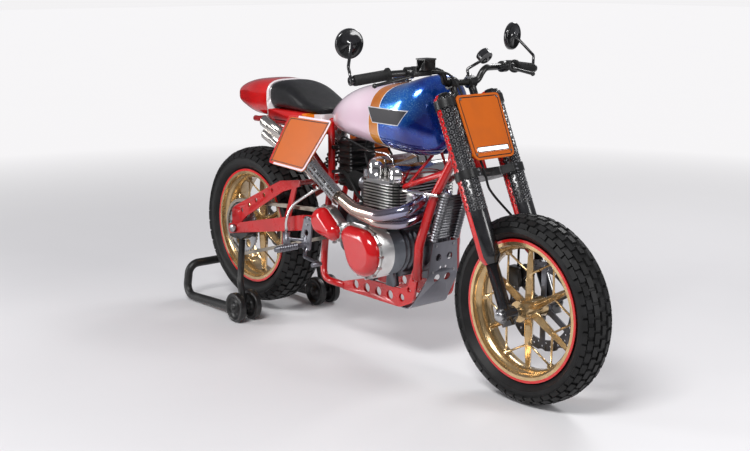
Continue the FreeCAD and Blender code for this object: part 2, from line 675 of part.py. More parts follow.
def skid_plate():
    """The bent guard ahead of the engine, narrower at its top and pierced by round holes."""
    half_top, half_low, thick, low = 56.0, RAIL_Y - RAIL_THICK / 2 - FIT, 3.0, RAIL_BOTTOM - FIT
    line = [(1093, 458), (1082, 330), (1006, low - thick), (900, low - thick)]
    back = [(900, low), (1004, low), (1079, 330), (1090, 458)]
    solid = panel(line + back, -half_low, half_low, [0, 60, 40, 0, 0, 37, 57, 0])
    for s in SIDES:
        corners = [V(0, half_low * s, low), V(0, half_low * s, 150), V(0, (half_low + 60) * s, 150),
                   V(0, (half_low + 60) * s, 500), V(0, half_top * s, 500), V(0, half_top * s, 458)]
        trim = Part.Face(Part.makePolygon(corners + corners[:1])).extrude(V(1300, 0, 0))
        solid = solid.cut(trim)
    holes = [(405, 26, 13), (330, 24, 14), (368, 12, 5)]
    drills = [Part.makeCylinder(r, 120, V(1010, y * s, z), V(1, 0, 0)) for z, y, r in holes for s in SIDES]
    return solid.cut(Part.makeCompound(drills))


def oil_cooler(cradles):
    """A finned cooler between two ribbed end tanks, held by short arms from the down tubes."""
    low, high = V(1086, 0, 464), V(1144, 0, 636)
    up = (high - low).normalize()
    front = V(up.z, 0, -up.x) * 6
    pieces = []
    for s in SIDES:
        for share, x, y in ((0.12, 1064, 79), (0.82, 1099, 66)):
            place = low + (high - low) * share
            pieces.append(cylinder(place + V(0, COOLER_HALF * s, 0), V(x, y * s, place.z), 5))
        column = V(0, COOLER_HALF * s, 0)
        pieces.append(cylinder(low + column, high + column, 11))
        for i in range(17):
            place = low + column + up * (6 + i * 10.5)
            pieces.append(cylinder(place, place + up * 4, 15.5))
    reach = V(0, COOLER_HALF, 0)
    for i in range(16):
        place = low + up * (8 + i * 10.5)
        corners = [place + front + reach, place + front - reach, place - front - reach, place - front + reach]
        pieces.append(Part.Face(Part.makePolygon(corners + corners[:1])).extrude(up * 3))
    return fuse(pieces).cut(cradles[-1]).cut(cradles[1])


# Engine

def slab(low, high, x_rear, x_front, half, corner):
    outline = [V(x_rear, -half, low), V(x_front, -half, low), V(x_front, half, low), V(x_rear, half, low)]
    return Part.Face(rounded(outline, corner)).extrude(V(0, 0, high - low))


def finned(low, high, x_rear, x_front, half, corner):
    """A stack of cooling fins round a narrower core."""
    pieces = [slab(low, high, x_rear + FIN_DEEP, x_front - FIN_DEEP, half - FIN_DEEP, corner)]
    count = round((high - low - FIN_THICK) / FIN_PITCH)
    pitch = (high - low - FIN_THICK) / count
    for i in range(count + 1):
        z = low + i * pitch
        pieces.append(slab(z, z + FIN_THICK, x_rear, x_front, half, corner + 6))
    return pieces


def barrels():
    return fuse(finned(BARREL_LOW + FIT, HEAD_LOW - FIT, HEAD_REAR + 6, HEAD_FRONT - 6, BARREL_HALF, 30))


def cylinder_head():
    """The finned head with two cam boxes, exhaust stubs ahead and inlet stubs behind."""
    pieces = finned(HEAD_LOW, HEAD_TOP, HEAD_REAR, HEAD_FRONT, HEAD_HALF, 34)
    pieces.append(slab(HEAD_TOP - 2, HEAD_TOP + 8, HEAD_REAR + 4, HEAD_FRONT - 4, HEAD_HALF - 4, 34))
    half = HEAD_HALF - 7
    for x, top in zip(CAM_X, CAM_TOP):
        low, spring = HEAD_TOP + 2, top - CAM_HALF_WIDE
        left, right = x - CAM_HALF_WIDE, x + CAM_HALF_WIDE
        edges = [Part.LineSegment(V(left, -half, low), V(right, -half, low)).toShape(),
                 Part.LineSegment(V(right, -half, low), V(right, -half, spring)).toShape(),
                 Part.Arc(V(right, -half, spring), V(x, -half, top), V(left, -half, spring)).toShape(),
                 Part.LineSegment(V(left, -half, spring), V(left, -half, low)).toShape()]
        arch = Part.Face(Part.Wire(edges)).extrude(V(0, 2 * half, 0))
        ends = [e for y in (-half, half) for e in edges_at_y(arch, y) if e.BoundBox.ZMax > low + 1]
        pieces.append(arch.makeFillet(30, ends))
    for s in SIDES:
        pieces.append(cylinder(V(HEAD_FRONT - 30, PORT_Y * s, PORT_Z), V(HEAD_FRONT + 14, PORT_Y * s, PORT_Z),
                               PIPE_R + 7))
        pieces.append(cylinder(V(HEAD_REAR + 30, INLET_Y * s, INLET_Z), V(HEAD_REAR - 14, INLET_Y * s, INLET_Z), 24))
    return fuse(pieces)


def crankcase():
    """Crankcase and gearbox in one casting, with lugs down to the rails and the output sprocket."""
    y = CASE_INNER
    body = panel([(622, 372), (700, 326), (960, 318), (1000, 400), (975, BARREL_LOW), (780, BARREL_LOW), (700, 545),
                  (622, 520)], -y, y, [26, 30, 30, 20, 10, 10, 24, 24])
    wide = panel([(672, 372), (720, 332), (930, 325), (960, BARREL_LOW - 10), (790, BARREL_LOW - 10), (690, 516)],
                 -CASE_HALF, CASE_HALF, [24, 24, 24, 10, 10, 24])
    crank = Part.makeCylinder(CRANK_CASE_R, 2 * CASE_HALF, CRANK - V(0, CASE_HALF, 0), V(0, 1, 0))
    ribs = [Part.makeCylinder(CRANK_CASE_R + CASE_RIB, 7, CRANK + V(0, y - 3.5, 0), V(0, 1, 0))
            for y in (-104.5, -86, -64, -42, -20, 20, 42, 64, 86, 104.5)]
    crank = crank.multiFuse(ribs)
    walls = [egg(CLUTCH[0], CLUTCH[1] + 10, CLUTCH[2], CLUTCH[3] + 10, -CASE_HALF + 20, -COVER_WALL),
             egg(SPROCKET_COVER[0], 54, SPROCKET_COVER[2], 38, -CASE_HALF, -COVER_WALL + 18)]
    gearbox = panel([(566, 400), (660, 400), (660, 512), (566, 512)], -46, 46, 16)
    pieces = [body, gearbox, wide, crank.cut(slab(BARREL_LOW, BARREL_LOW + 60, 700, 1100, 200, 5))] + walls
    for s in SIDES:
        for x in (800, 915):
            pieces.append(panel([(x - 22, RAIL_TOP + FIT), (x + 22, RAIL_TOP + FIT), (x + 14, 350), (x - 14, 350)],
                                s * (RAIL_Y - 16), s * (RAIL_Y + 8), 3))
    solid = fuse(pieces)
    room = Part.makeCylinder(66, CHAIN_WIDE + 8, V(FRONT_SPROCKET.x, -CASE_HALF, FRONT_SPROCKET.z), V(0, 1, 0))
    slot = Part.makeBox(200, CHAIN_WIDE + 8, 132, V(FRONT_SPROCKET.x - 200, -CASE_HALF, FRONT_SPROCKET.z - 66))
    solid = solid.cut(room).cut(slot)
    shaft = Part.makeCylinder(16, 68, V(FRONT_SPROCKET.x, -CASE_HALF + 4, FRONT_SPROCKET.z), V(0, 1, 0))
    return fuse([solid, shaft, sprocket(FRONT_SPROCKET, FRONT_TEETH, CHAIN_Y - SPROCKET_THICK / 2, 8, FIT)])


def cover(c1, r1, c2, r2, inner, flange, outer, lip, round_r):
    """A domed cover of egg shape on a thin flange."""
    s = 1 if outer > 0 else -1
    wall = egg(c1, r1, c2, r2, inner, outer)
    wall = wall.makeFillet(round_r, edges_at_y(wall, outer))
    return fuse([egg(c1, r1 + lip, c2, r2 + lip, inner, inner + s * flange), wall])


def generator_cover():
    return cover((CRANK.x - 4, CRANK.z), 72, (810, 428), 48, CASE_HALF + FIT, 12, CASE_HALF + 72, 8, 22)


def carburettors():
    """Two carburettors behind the head, each with a cone filter."""
    solids = []
    for s in SIDES:
        start = V(HEAD_REAR - 14 - FIT, INLET_Y * s, INLET_Z)
        neck = start - V(60, 0, 0)
        solids.append(fuse([cylinder(start, neck, 25), cylinder(start - V(30, 0, 0), start + V(-30, 0, 56), 21),
                            block(start + V(-30, 0, -30), 42, 42, 34),
                            Part.makeCone(30, 38, 58, neck, V(-1, 0, 0))]))
    return solids


def engine_lines(solids):
    """A ribbed battery case behind the filters with its plug leads, the oil pipe, and the rear brake pipe.
    Each is trimmed where it meets one of the solids that hold it."""
    middle = slab(592, 756, 576, 652, 58, 10)
    ribs = [slab(z, z + 8, 572, 656, 62, 12) for z in range(600, 750, 24)]
    tabs = [block(V(566, UPRIGHT_Y * s, z), 24, 16, 12) for s in SIDES for z in (640, 730)]
    pieces = [fuse([middle] + ribs + tabs)]
    oil_end = V(1138, -COOLER_HALF, 618)
    pieces.append(cable([V(HEAD_FRONT - 18, -118, 637), V(1040, -122, 637), V(1100, -100, 636),
                         oil_end + V(0, -20, 12), oil_end], 6))
    pieces.append(cable([V(BACKBONE_REAR, -UPRIGHT_Y, 592), V(556, -140, 584), V(417, -152, 504), V(392, -164, 450),
                         V(392, -164, 380)], 6))
    for s in SIDES:
        plug = V((CAM_X[0] + CAM_X[1]) / 2, 76 * s, HEAD_TOP + 8 + FIT)
        lead = cable([V(640, 40 * s, 722), V(740, 76 * s, 742), V(plug.x - 36, 76 * s, 743), V(plug.x, 76 * s, 724),
                      plug + V(0, 0, 20)], 3.5)
        pieces[0] = pieces[0].fuse(lead)
        pieces.append(cylinder(plug, plug + V(0, 0, 34), 9).cut(lead))
    lines = []
    for piece in pieces:
        for solid in solids:
            piece = piece.cut(solid)
        lines.append(max(piece.Solids, key=lambda part: part.Volume))
    return lines


# Exhaust

UPPER_ROUTE = [V(HEAD_FRONT + 14 + FIT, -PORT_Y, PORT_Z), V(1056, -PORT_Y, PORT_Z), V(1082, -170, 584), V(1000, -216, 560),
               V(880, -222, 566), V(760, -212, 604), V(600, -178, 664), V(470, -138, 712), V(236, -136, 796)]
LOWER_ROUTE = [V(HEAD_FRONT + 14 + FIT, PORT_Y, PORT_Z), V(1040, PORT_Y, PORT_Z), V(1040, -40, 552), V(1030, -140, 528),
               V(950, -176, 522), V(800, -168, 545), V(600, -150, 616), V(470, -136, 664), V(244, -136, 749)]


def exhaust_pipes():
    """Two header pipes stacked along the right side, each with a wider sleeve at its end."""
    solids = []
    for route, bends in ((UPPER_ROUTE, [0, 26, 40, 60, 200, 260, 260, 200, 0]),
                         (LOWER_ROUTE, [0, 24, 40, 40, 120, 200, 260, 200, 0])):
        along = (route[-1] - route[-2]).normalize()
        sleeve = ring(route[-1] - along * 120, route[-1] + along * 14, PIPE_R + 4, PIPE_R - PIPE_WALL)
        solids.append(fuse([tube(route, PIPE_R, PIPE_WALL, bends), sleeve]))
    return solids


def exhaust_shield():
    """A half-round heat shield that stands off the upper pipe on two bands, with two rows of holes."""
    a, b = UPPER_ROUTE[5], UPPER_ROUTE[6]
    along = (b - a).normalize()
    start, end = a - along * 34, b + along * 14
    out = V(0, -1, 0)
    out = (out - along * out.dot(along)).normalize()
    across = along.cross(out)
    corners = [start + across * 60 - along * 5, start - across * 60 - along * 5, end - across * 60 + along * 5,
               end + across * 60 + along * 5]
    outer_half = Part.Face(Part.makePolygon(corners + corners[:1])).extrude(out * 60)
    shell = ring(start, end, SHIELD_R, SHIELD_R - 2).common(outer_half)
    drills = []
    count = int((end - start).Length / 15)
    for i in range(count):
        for turn in (-0.6, 0.0, 0.6):
            heading = (out * math.cos(turn) + across * math.sin(turn)).normalize()
            place = start + along * (10 + i * 15) + heading * (SHIELD_R - 5)
            drills.append(Part.makeCylinder(4.5, 10, place, heading))
    bands = [ring(a + along * place, a + along * (place + 12), SHIELD_R - 1, PIPE_R + FIT).common(outer_half)
             for place in (34, 118)]
    return fuse([shell.cut(Part.makeCompound(drills))] + bands)


# Tank, seat and tail

def fuel_tank():
    """The tank over the backbone, lofted from ovals. The front ones lean with the steering head."""
    stations = [(502, 34, -29, 15, 0), (560, 70, -41, 53, 0), (604, 94, -50, 78, 0), (650, 112, -56, 102, 0),
                (730, 131, -64, 132, 0), (860, 143, -76, 150, 0), (985, 145, -86, 167, 6), (1066, 134, -82, 184, 28),
                (1116, 104, -60, 187, 48), (1138, 66, -20, 176, 52)]
    rings = [oval(x, half, BACKBONE_Z + low, BACKBONE_Z + high, 2.7, lean) for x, half, low, high, lean in stations]
    solid = Part.makeLoft(rings, True)
    top = BACKBONE_Z + BACKBONE_R + FIT
    tunnel = Part.makeBox(700, 2 * TANK_TUNNEL_HALF, top - 700, V(500, -TANK_TUNNEL_HALF, 700))
    rear = Part.makeBox(100, 2 * (UPRIGHT_Y + 20), BACKBONE_Z + 8 - 700, V(480, -UPRIGHT_Y - 20, 700))
    return solid.cut(tunnel).cut(rear)


def filler_cap(tank_solid):
    centre = V(860, 0, BACKBONE_Z + 143)
    cap = fuse([cylinder(centre, centre + V(0, 0, 18), 36), cylinder(centre + V(0, 0, 18), centre + V(0, 0, 24), 29)])
    return cap.cut(tank_solid)


def seat_base():
    outline = [V(SEAT_REAR + 4, -SEAT_BASE_HALF, SEAT_BASE_Z), V(430, -SEAT_BASE_HALF, SEAT_BASE_Z),
               V(494, -66, SEAT_BASE_Z), V(494, 66, SEAT_BASE_Z), V(430, SEAT_BASE_HALF, SEAT_BASE_Z),
               V(SEAT_REAR + 4, SEAT_BASE_HALF, SEAT_BASE_Z)]
    face = Part.Face(rounded(outline, [0, 40, 16, 16, 40, 0]))
    return face.extrude(V(0, 0, SEAT_BASE_TOP - SEAT_BASE_Z))


def tail():
    """Seat base and pointed tail hump in one moulding."""
    stations = [(SEAT_REAR + 6, 106, SEAT_BASE_Z, 952), (120, 102, SEAT_BASE_Z, 953), (40, 90, 814, 944),
                (-40, 66, 832, 924), (-88, 44, 848, 902), (-103, 26, 858, 890)]
    hump = Part.makeLoft([oval(x, half, low, high, 3.2) for x, half, low, high in stations], True)
    return fuse([hump, seat_base()])


def seat():
    """The scooped seat pad that rises against the tail."""
    stations = [(SEAT_REAR + 6 + FIT, 96, 950), (268, 100, 952), (342, 101, 934), (395, 98, 905), (455, 84, 873),
                (SEAT_FRONT - 6, 60, 864)]
    return Part.makeLoft([oval(x, half, SEAT_BASE_TOP + FIT, high, 3.4) for x, half, high in stations], True)


def number_panels():
    """Slanted number panels, one each side, each hung from the seat base by a short hook."""
    solids = []
    top, low = V(0, 142, 836), V(0, 204, 648)
    slope = (low - top).normalize()
    inward = V(0, slope.z, -slope.y) * 4
    hook = SEAT_BASE_HALF + FIT
    profile = [top, low, low + inward, V(0, 140, 832)]
    hook_profile = [V(0, hook, 812), V(0, hook, 836), V(0, 142, 836), V(0, 140, 832), V(0, hook + 4, 832),
                    V(0, hook + 4, 812)]
    for s in SIDES:
        sheets = []
        for points, x_rear, x_front in ((profile, 300, 700), (hook_profile, 400, 426)):
            line = [V(x_rear, p.y * s, p.z) for p in points]
            sheets.append(Part.Face(Part.makePolygon(line + line[:1])).extrude(V(x_front - x_rear, 0, 0)))
        outline = panel([(396, 842), (650, 842), (634, 800), (556, 650), (332, 658), (376, 800)], 60 * s, 260 * s,
                        [8, 8, 30, 24, 24, 30])
        solids.append(fuse([sheet.common(outline) for sheet in sheets]))
    return solids


# Swingarm, chain and shock

def arm_line(x):
    """Height of the swingarm's middle line at x."""
    return REAR_AXLE.z + (PIVOT.z - REAR_AXLE.z) * x / PIVOT.x


def swingarm():
    """Tapered arms with a cross tube and pivot bolt, and the drilled brace above each arm."""
    reach = HANGER_Y - FIT
    pieces = [cylinder(PIVOT - V(0, reach, 0), PIVOT + V(0, reach, 0), AXLE_R),
              cylinder(V(430, -ARM_INNER - 2, arm_line(430)), V(430, ARM_INNER + 2, arm_line(430)), 20),
              cylinder(V(420, -ARM_INNER - 18, 584), V(420, ARM_INNER + 18, 584), 10)]
    rear, front = ARM_HIGH_REAR / 2, ARM_HIGH_FRONT / 2
    for s in SIDES:
        outline = [(-44, arm_line(-44) - rear), (40, arm_line(40) - rear), (PIVOT.x - 70, arm_line(446) - front),
                   (PIVOT.x + 25, PIVOT.z - 25), (PIVOT.x + 25, PIVOT.z + 25), (PIVOT.x - 70, arm_line(446) + front),
                   (40, arm_line(40) + rear), (-44, arm_line(-44) + rear)]
        pieces.append(panel(outline, s * ARM_INNER, s * (ARM_INNER + ARM_WIDE), [14, 40, 40, 24, 24, 40, 40, 14]))
        lift = [(-34, arm_line(-34) + rear - 4), (24, arm_line(24) + rear - 4), (70, 404), (322, 538), (432, 572),
                (436, 598), (306, 578), (150, 508), (-8, 436), (-34, 418)]
        plate = panel(lift, s * (ARM_INNER + 12), s * (ARM_INNER + 18), [2, 4, 20, 40, 4, 4, 40, 60, 14, 6])
        drills = [Part.makeCylinder(9, 60, V(x, s * (ARM_INNER + 15) - 30, z), V(0, 1, 0))
                  for x, z in ((38, 423), (90, 452), (140, 478), (196, 506), (252, 533))]
        pieces.append(plate.cut(Part.makeCompound(drills)))
        pieces.append(panel([(330, arm_line(330) + 20), (366, arm_line(366) + 20), (420, 590), (396, 590)],
                            s * (ARM_INNER + 12), s * (ARM_INNER + 18), 3))
    return fuse(pieces).cut(cylinder(REAR_AXLE - V(0, 200, 0), REAR_AXLE + V(0, 200, 0), AXLE_R + FIT))


def pitch_radius(teeth):
    return CHAIN_PITCH / (2 * math.sin(math.pi / teeth))


def sprocket(centre, teeth, y_low, bore, play):
    """A toothed wheel whose tips stay just inside the chain's rollers, by play."""
    tip = pitch_radius(teeth) - ROLLER_R - play
    root = tip - 6
    points = []
    for i in range(teeth):
        for share, r in ((0.0, root), (0.3, tip), (0.5, tip), (0.8, root)):
            angle = 2 * math.pi * (i + share) / teeth
            points.append(V(centre.x + r * math.cos(angle), y_low, centre.z + r * math.sin(angle)))
    solid = Part.Face(Part.makePolygon(points + points[:1])).extrude(V(0, SPROCKET_THICK, 0))
    return solid.cut(Part.makeCylinder(bore, SPROCKET_THICK + 2, V(centre.x, y_low - 1, centre.z), V(0, 1, 0)))


def rear_sprocket():
    """The rear sprocket with six windows, on a carrier that reaches in to the hub."""
    y_low = CHAIN_Y - SPROCKET_THICK / 2
    solid = sprocket(REAR_AXLE, REAR_TEETH, y_low, AXLE_R + 12, SPROCKET_PLAY)
    windows = []
    for i in range(SPOKE_COUNT):
        angle = 2 * math.pi * i / SPOKE_COUNT
        place = REAR_AXLE + V(math.cos(angle) * 72, y_low - 5, math.sin(angle) * 72)
        windows.append(Part.makeCylinder(17, 20, place, V(0, 1, 0)))
    carrier = ring(REAR_AXLE + V(0, CHAIN_Y, 0), REAR_AXLE - V(0, REAR_HUB_HALF, 0), 46, AXLE_R + 12)
    return fuse([solid.cut(Part.makeCompound(windows)), carrier])


def chain_loop(offset):
    """The closed line of the chain round both sprockets, offset outwards."""
    r1, r2 = pitch_radius(REAR_TEETH) + offset, pitch_radius(FRONT_TEETH) + offset
    c1, c2 = V(0, CHAIN_Y, REAR_AXLE.z), FRONT_SPROCKET
    heading = math.atan2(c2.z - c1.z, c2.x - c1.x)
    lean = math.acos((r1 - r2) / (c2 - c1).Length)

    def on(c, r, angle):
        return c + V(r * math.cos(angle), 0, r * math.sin(angle))

    return Part.Wire([Part.LineSegment(on(c1, r1, heading + lean), on(c2, r2, heading + lean)).toShape(),
                      Part.Arc(on(c2, r2, heading + lean), on(c2, r2, heading), on(c2, r2, heading - lean)).toShape(),
                      Part.LineSegment(on(c2, r2, heading - lean), on(c1, r1, heading - lean)).toShape(),
                      Part.Arc(on(c1, r1, heading - lean), on(c1, r1, heading + math.pi),
                               on(c1, r1, heading + lean)).toShape()])


def chain():
    """The drive chain as one closed loop: two rows of side plates tied by a roller at every pitch."""
    band = Part.Face(chain_loop(CHAIN_HIGH / 2)).cut(Part.Face(chain_loop(-CHAIN_HIGH / 2)))
    pieces = []
    for y in (-CHAIN_WIDE / 2, CHAIN_WIDE / 2 - CHAIN_PLATE):
        row = band.extrude(V(0, CHAIN_PLATE, 0))
        row.translate(V(0, y, 0))
        pieces.append(row)
    line = chain_loop(0)
    count = round(line.Length / CHAIN_PITCH)
    for place in line.discretize(Number=count + 1)[:-1]:
        flats = [V(place.x + ROLLER_R * math.cos(k * math.pi / 3), CHAIN_Y - CHAIN_WIDE / 2 + 1,
                   place.z + ROLLER_R * math.sin(k * math.pi / 3)) for k in range(7)]
        pieces.append(Part.Face(Part.makePolygon(flats)).extrude(V(0, CHAIN_WIDE - 2, 0)))
    return fuse(pieces)


def rear_shock():
    """The single shock under the seat, its spring built as a stack of turns."""
    low, high = V(420, 0, 584), V(BACKBONE_REAR, 0, BACKBONE_Z - 14)
    along = (high - low).normalize()
    foot, head = low + along * (10 + FIT), high - along * (15 + FIT)
    start, end = foot + along * 16, head - along * 46
    pieces = [cylinder(foot, head, 12), cylinder(start, start + along * 7, 29), cylinder(end - along * 7, end, 29),
              cylinder(end, head - along * 12, 20)]
    turns = 7
    for i in range(turns):
        place = start + along * ((end - start).Length * (i + 0.5) / turns)
        pieces.append(Part.makeTorus(21, 5, place, along))
        pieces.append(cylinder(place - along * 1.5, place + along * 1.5, 22))
    return fuse(pieces)


# Foot controls

def footrest(s):
    """A drilled hanger with its ribbed peg and foot lever. The right one carries the rear reservoir."""
    inner, outer = HANGER_Y * s, (HANGER_Y + 7) * s
    hanger = panel([(496, 474), (536, 474), (536, 430), (524, 344), (478, 344), (470, 392)], inner, outer, 14)
    pieces = [hanger.cut(Part.makeCylinder(12, 60, V(506, s * HANGER_Y - 30, 412), V(0, 1, 0))),
              cylinder(V(PEG.x, inner, PEG.z), V(PEG.x, 292 * s, PEG.z), 9),
              bar([V(500, (HANGER_Y + 5) * s, 352), V(520, 176 * s, 326), V(632, 190 * s, 322)], 6.5, 18),
              cylinder(V(632, 184 * s, 322), V(632, 224 * s, 322), 8)]
    for i in range(9):
        start = (196 + i * 10) * s
        pieces.append(cylinder(V(PEG.x, start, PEG.z), V(PEG.x, start + 5 * s, PEG.z), 13))
    if s < 0:
        pieces.append(cylinder(V(392, -164, 348), V(392, -164, 396), 15))
        pieces.append(bar([V(486, -HANGER_Y - 4, 380), V(392, -160, 372)], 6))
    return fuse(pieces)


# Paddock stand

def paddock_stand():
    """Floor runners, raised handle loop, and uprights to the cradles that hold the swingarm."""
    half = [V(ROLLER_X, STAND_HALF, STAND_ROLLER_R), V(40, STAND_HALF, 34), V(STAND_REAR, STAND_HALF, STAND_TUBE_R),
            V(HANDLE_X, STAND_HALF - 8, HANDLE_Z)]
    route = [side(p, -1) for p in half] + half[::-1]
    pieces = [bar(route, STAND_TUBE_R, [0, 90, 44, 44, 44, 44, 90, 0])]
    reach = STAND_ROLLER_GAP + STAND_ROLLER_WIDE / 2 + 8
    seat_x, rear_x, front_x = 46.0, -14.0, 112.0
    under = ARM_HIGH_REAR / 2 + FIT
    mid = ARM_INNER + ARM_WIDE / 2
    for s in SIDES:
        pieces.append(cylinder(V(ROLLER_X, s * (STAND_HALF - reach), STAND_ROLLER_R),
                               V(ROLLER_X, s * (STAND_HALF + reach), STAND_ROLLER_R), STUB_R))
        pieces.append(bar([V(ROLLER_X, s * STAND_HALF, STAND_ROLLER_R), V(ROLLER_X - 22, s * STAND_HALF, 150),
                           V(seat_x + 6, s * (mid + 14), arm_line(seat_x) - under - 30)], 13, 60))
        cradle_line = [(rear_x, arm_line(rear_x) - under), (40, arm_line(40) - under),
                       (front_x, arm_line(front_x) - under - 1.6)]
        cradle_line += [(front_x, arm_line(front_x) - under - 10), (seat_x + 18, arm_line(seat_x) - under - 24),
                        (seat_x - 18, arm_line(seat_x) - under - 24), (rear_x, arm_line(rear_x) - under - 10)]
        pieces.append(panel(cradle_line, s * (ARM_INNER + 2), s * (ARM_INNER + ARM_WIDE + 14), 2))
    return fuse(pieces)


def rollers(s):
    """The twin rollers of one side, each with a stepped face."""
    solids = []
    for offset in (-STAND_ROLLER_GAP, STAND_ROLLER_GAP):
        middle = V(ROLLER_X, STAND_HALF * s + offset, STAND_ROLLER_R)
        half = V(0, STAND_ROLLER_WIDE / 2, 0)
        solid = cylinder(middle - half, middle + half, STAND_ROLLER_R)
        solid = solid.makeFillet(6, edges_at_y(solid, middle.y - half.y) + edges_at_y(solid, middle.y + half.y))
        for end in (-1, 1):
            face = middle + half * end
            solid = solid.cut(ring(face - V(0, end * 6, 0), face + V(0, end, 0), 44, 20))
        solids.append(solid.cut(cylinder(middle - half * 2, middle + half * 2, STUB_R + RUNNING)))
    return solids


def save(name, shape):
    solids = [s for part in (shape if isinstance(shape, list) else [shape]) for s in part.Solids]
    result = solids[0].copy() if len(solids) == 1 else Part.makeCompound([s.copy() for s in solids])
    result.translate(V(SHIFT, 0, 0))
    result.exportStep("parts/" + name + ".step")


def build():
    spine_solid = spine()
    cradles = {s: cradle(s, spine_solid) for s in SIDES}
    tank = fuel_tank()
    cooler = oil_cooler(cradles)
    head = cylinder_head()
    pegs = [footrest(s) for s in SIDES]
    arm_outer = ARM_INNER + ARM_WIDE
    return {
        "frame_spine": spine_solid,
        "frame_cradle": [cradles[-1], cradles[1]],
        "subframe": subframe([spine_solid, cradles[-1], cradles[1]]),
        "skid_plate": skid_plate(),
        "oil_cooler": cooler,
        "crankcase": [crankcase(), generator_cover()],
        "barrels": barrels(),
        "cylinder_head": head,
        "clutch_cover": cover(*CLUTCH, -COVER_WALL - FIT, 8, -COVER_FACE, 6, 34),
        "sprocket_cover": cover(*SPROCKET_COVER, -COVER_WALL + 18 - FIT, 6, -COVER_FACE + 18, 3, 32),
        "carburettors": carburettors(),
        "engine_lines": engine_lines([cradles[-1], cradles[1], head, cooler, pegs[0]]),
        "exhaust_pipes": exhaust_pipes(),
        "exhaust_shield": exhaust_shield(),
        "fuel_tank": tank,
        "filler_cap": filler_cap(tank),
        "tail": tail(),
        "seat": seat(),
        "number_panels": number_panels(),
        "swingarm": [swingarm(), axle(REAR_AXLE, ARM_INNER, arm_outer, REAR_HUB_HALF)],
        "rear_shock": rear_shock(),
        "chain": chain(),
        "footrests": pegs,
        "paddock_stand": paddock_stand(),
        "stand_rollers_right": rollers(-1),
        "stand_rollers_left": rollers(1),
        "yokes": yokes(),
        "fork_tubes": fork_tubes(),
        "fork_legs": fork_legs() + [axle(FRONT_AXLE, FORK_HALF - FOOT_HALF, FORK_HALF + FOOT_HALF,
                                         FRONT_HUB_HALF)],
        "front_caliper": front_caliper(),
        "handlebar": handlebar(),
        "grips": grips(),
        "lever_perches": perches(),
        "mirrors": mirrors(),
        "gauge": gauge(),
        "front_hoses": front_hose(),
        "front_plate": front_plate(),
        "front_lamp": front_lamp(),
        "front_rim": wheel(FRONT_AXLE, FRONT_RIM_HALF, FRONT_HUB_HALF),
        "front_tyre": tyre(FRONT_AXLE, FRONT_TYRE_R, FRONT_TYRE_HALF, FRONT_RIM_HALF),
        "front_disc": disc(FRONT_AXLE, FRONT_DISC_Y, FRONT_DISC_R, FRONT_HUB_HALF),
        "rear_rim": wheel(REAR_AXLE, REAR_RIM_HALF, REAR_HUB_HALF),
        "rear_tyre": tyre(REAR_AXLE, REAR_TYRE_R, REAR_TYRE_HALF, REAR_RIM_HALF),
        "rear_disc": disc(REAR_AXLE, REAR_DISC_Y, REAR_DISC_R, REAR_HUB_HALF),
        "rear_sprocket": rear_sprocket(),
    }


os.makedirs("parts", exist_ok=True)
for node, solids in build().items():
    save(node, solids)
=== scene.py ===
# %% [markdown]
# A street-tracker styled cafe racer on its paddock stand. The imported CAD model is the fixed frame: it says
# where each part is and how it moves. This lesson adds what makes the parts look real. Curved CAD parts get a
# merged, smooth-shaded skin, soft and fine parts are modelled here, and every surface gets a finish that is
# worked out by shader nodes.

# %% Load the frame
import json
from math import atan2, copysign, cos, hypot, pi, radians, sin
import bmesh
import bpy
from mathutils import Matrix, Vector


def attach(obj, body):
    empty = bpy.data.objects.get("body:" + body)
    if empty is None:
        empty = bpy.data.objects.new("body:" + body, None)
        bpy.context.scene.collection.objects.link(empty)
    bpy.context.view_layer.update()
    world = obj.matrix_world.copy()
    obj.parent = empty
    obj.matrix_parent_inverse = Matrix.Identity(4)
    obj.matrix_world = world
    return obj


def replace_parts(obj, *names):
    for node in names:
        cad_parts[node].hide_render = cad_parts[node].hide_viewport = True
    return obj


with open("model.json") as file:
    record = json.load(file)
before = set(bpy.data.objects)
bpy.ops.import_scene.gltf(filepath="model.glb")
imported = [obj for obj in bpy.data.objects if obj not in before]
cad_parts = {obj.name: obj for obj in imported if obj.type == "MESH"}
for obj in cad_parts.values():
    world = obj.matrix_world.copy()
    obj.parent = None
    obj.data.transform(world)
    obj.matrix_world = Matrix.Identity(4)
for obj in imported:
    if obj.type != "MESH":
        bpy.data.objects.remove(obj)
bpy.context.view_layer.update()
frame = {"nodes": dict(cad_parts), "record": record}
nodes = frame["nodes"]
members_of_body = frame["record"]["behaviour"]["bodies"]
body_of_node = {node: body for body, members in members_of_body.items() for node in members}

# %% [markdown]
# Places are in metres in the machine's own frame: +X forwards, +Y to the rider's left, +Z up. The fork leans
# back by its rake, so places on it are given as a distance up the fork, across it and ahead of it.

# %% Places and sizes
FRONT_AXLE = Vector((0.751, 0.0, 0.306))
REAR_AXLE = Vector((-0.739, 0.0, 0.346))
RAKE = radians(24.5)
UP = Vector((-sin(RAKE), 0.0, cos(RAKE)))
AHEAD = Vector((cos(RAKE), 0.0, sin(RAKE)))
ACROSS = Vector((0.0, 1.0, 0.0))
FORK_HALF = 0.104
FORK_TUBE_R = 0.035
RIM_LIP_R = 0.232
SIDES = (-1, 1)


def fork_point(up, across=0.0, ahead=0.0):
    return FRONT_AXLE + UP * up + ACROSS * across + AHEAD * ahead


def spot(x, y, z):
    """A place in millimetres, measured from the floor under the rear axle."""
    return Vector((x, y, z)) / 1000 + Vector((REAR_AXLE.x, 0.0, 0.0))


print("wheelbase", round(FRONT_AXLE.x - REAR_AXLE.x, 3), "m")

# %% [markdown]
# Shader maths reads best as plain arithmetic. A Wire is one socket of a node tree with the usual operators on
# it, so a sum or a comparison of wires adds the node that works it out.

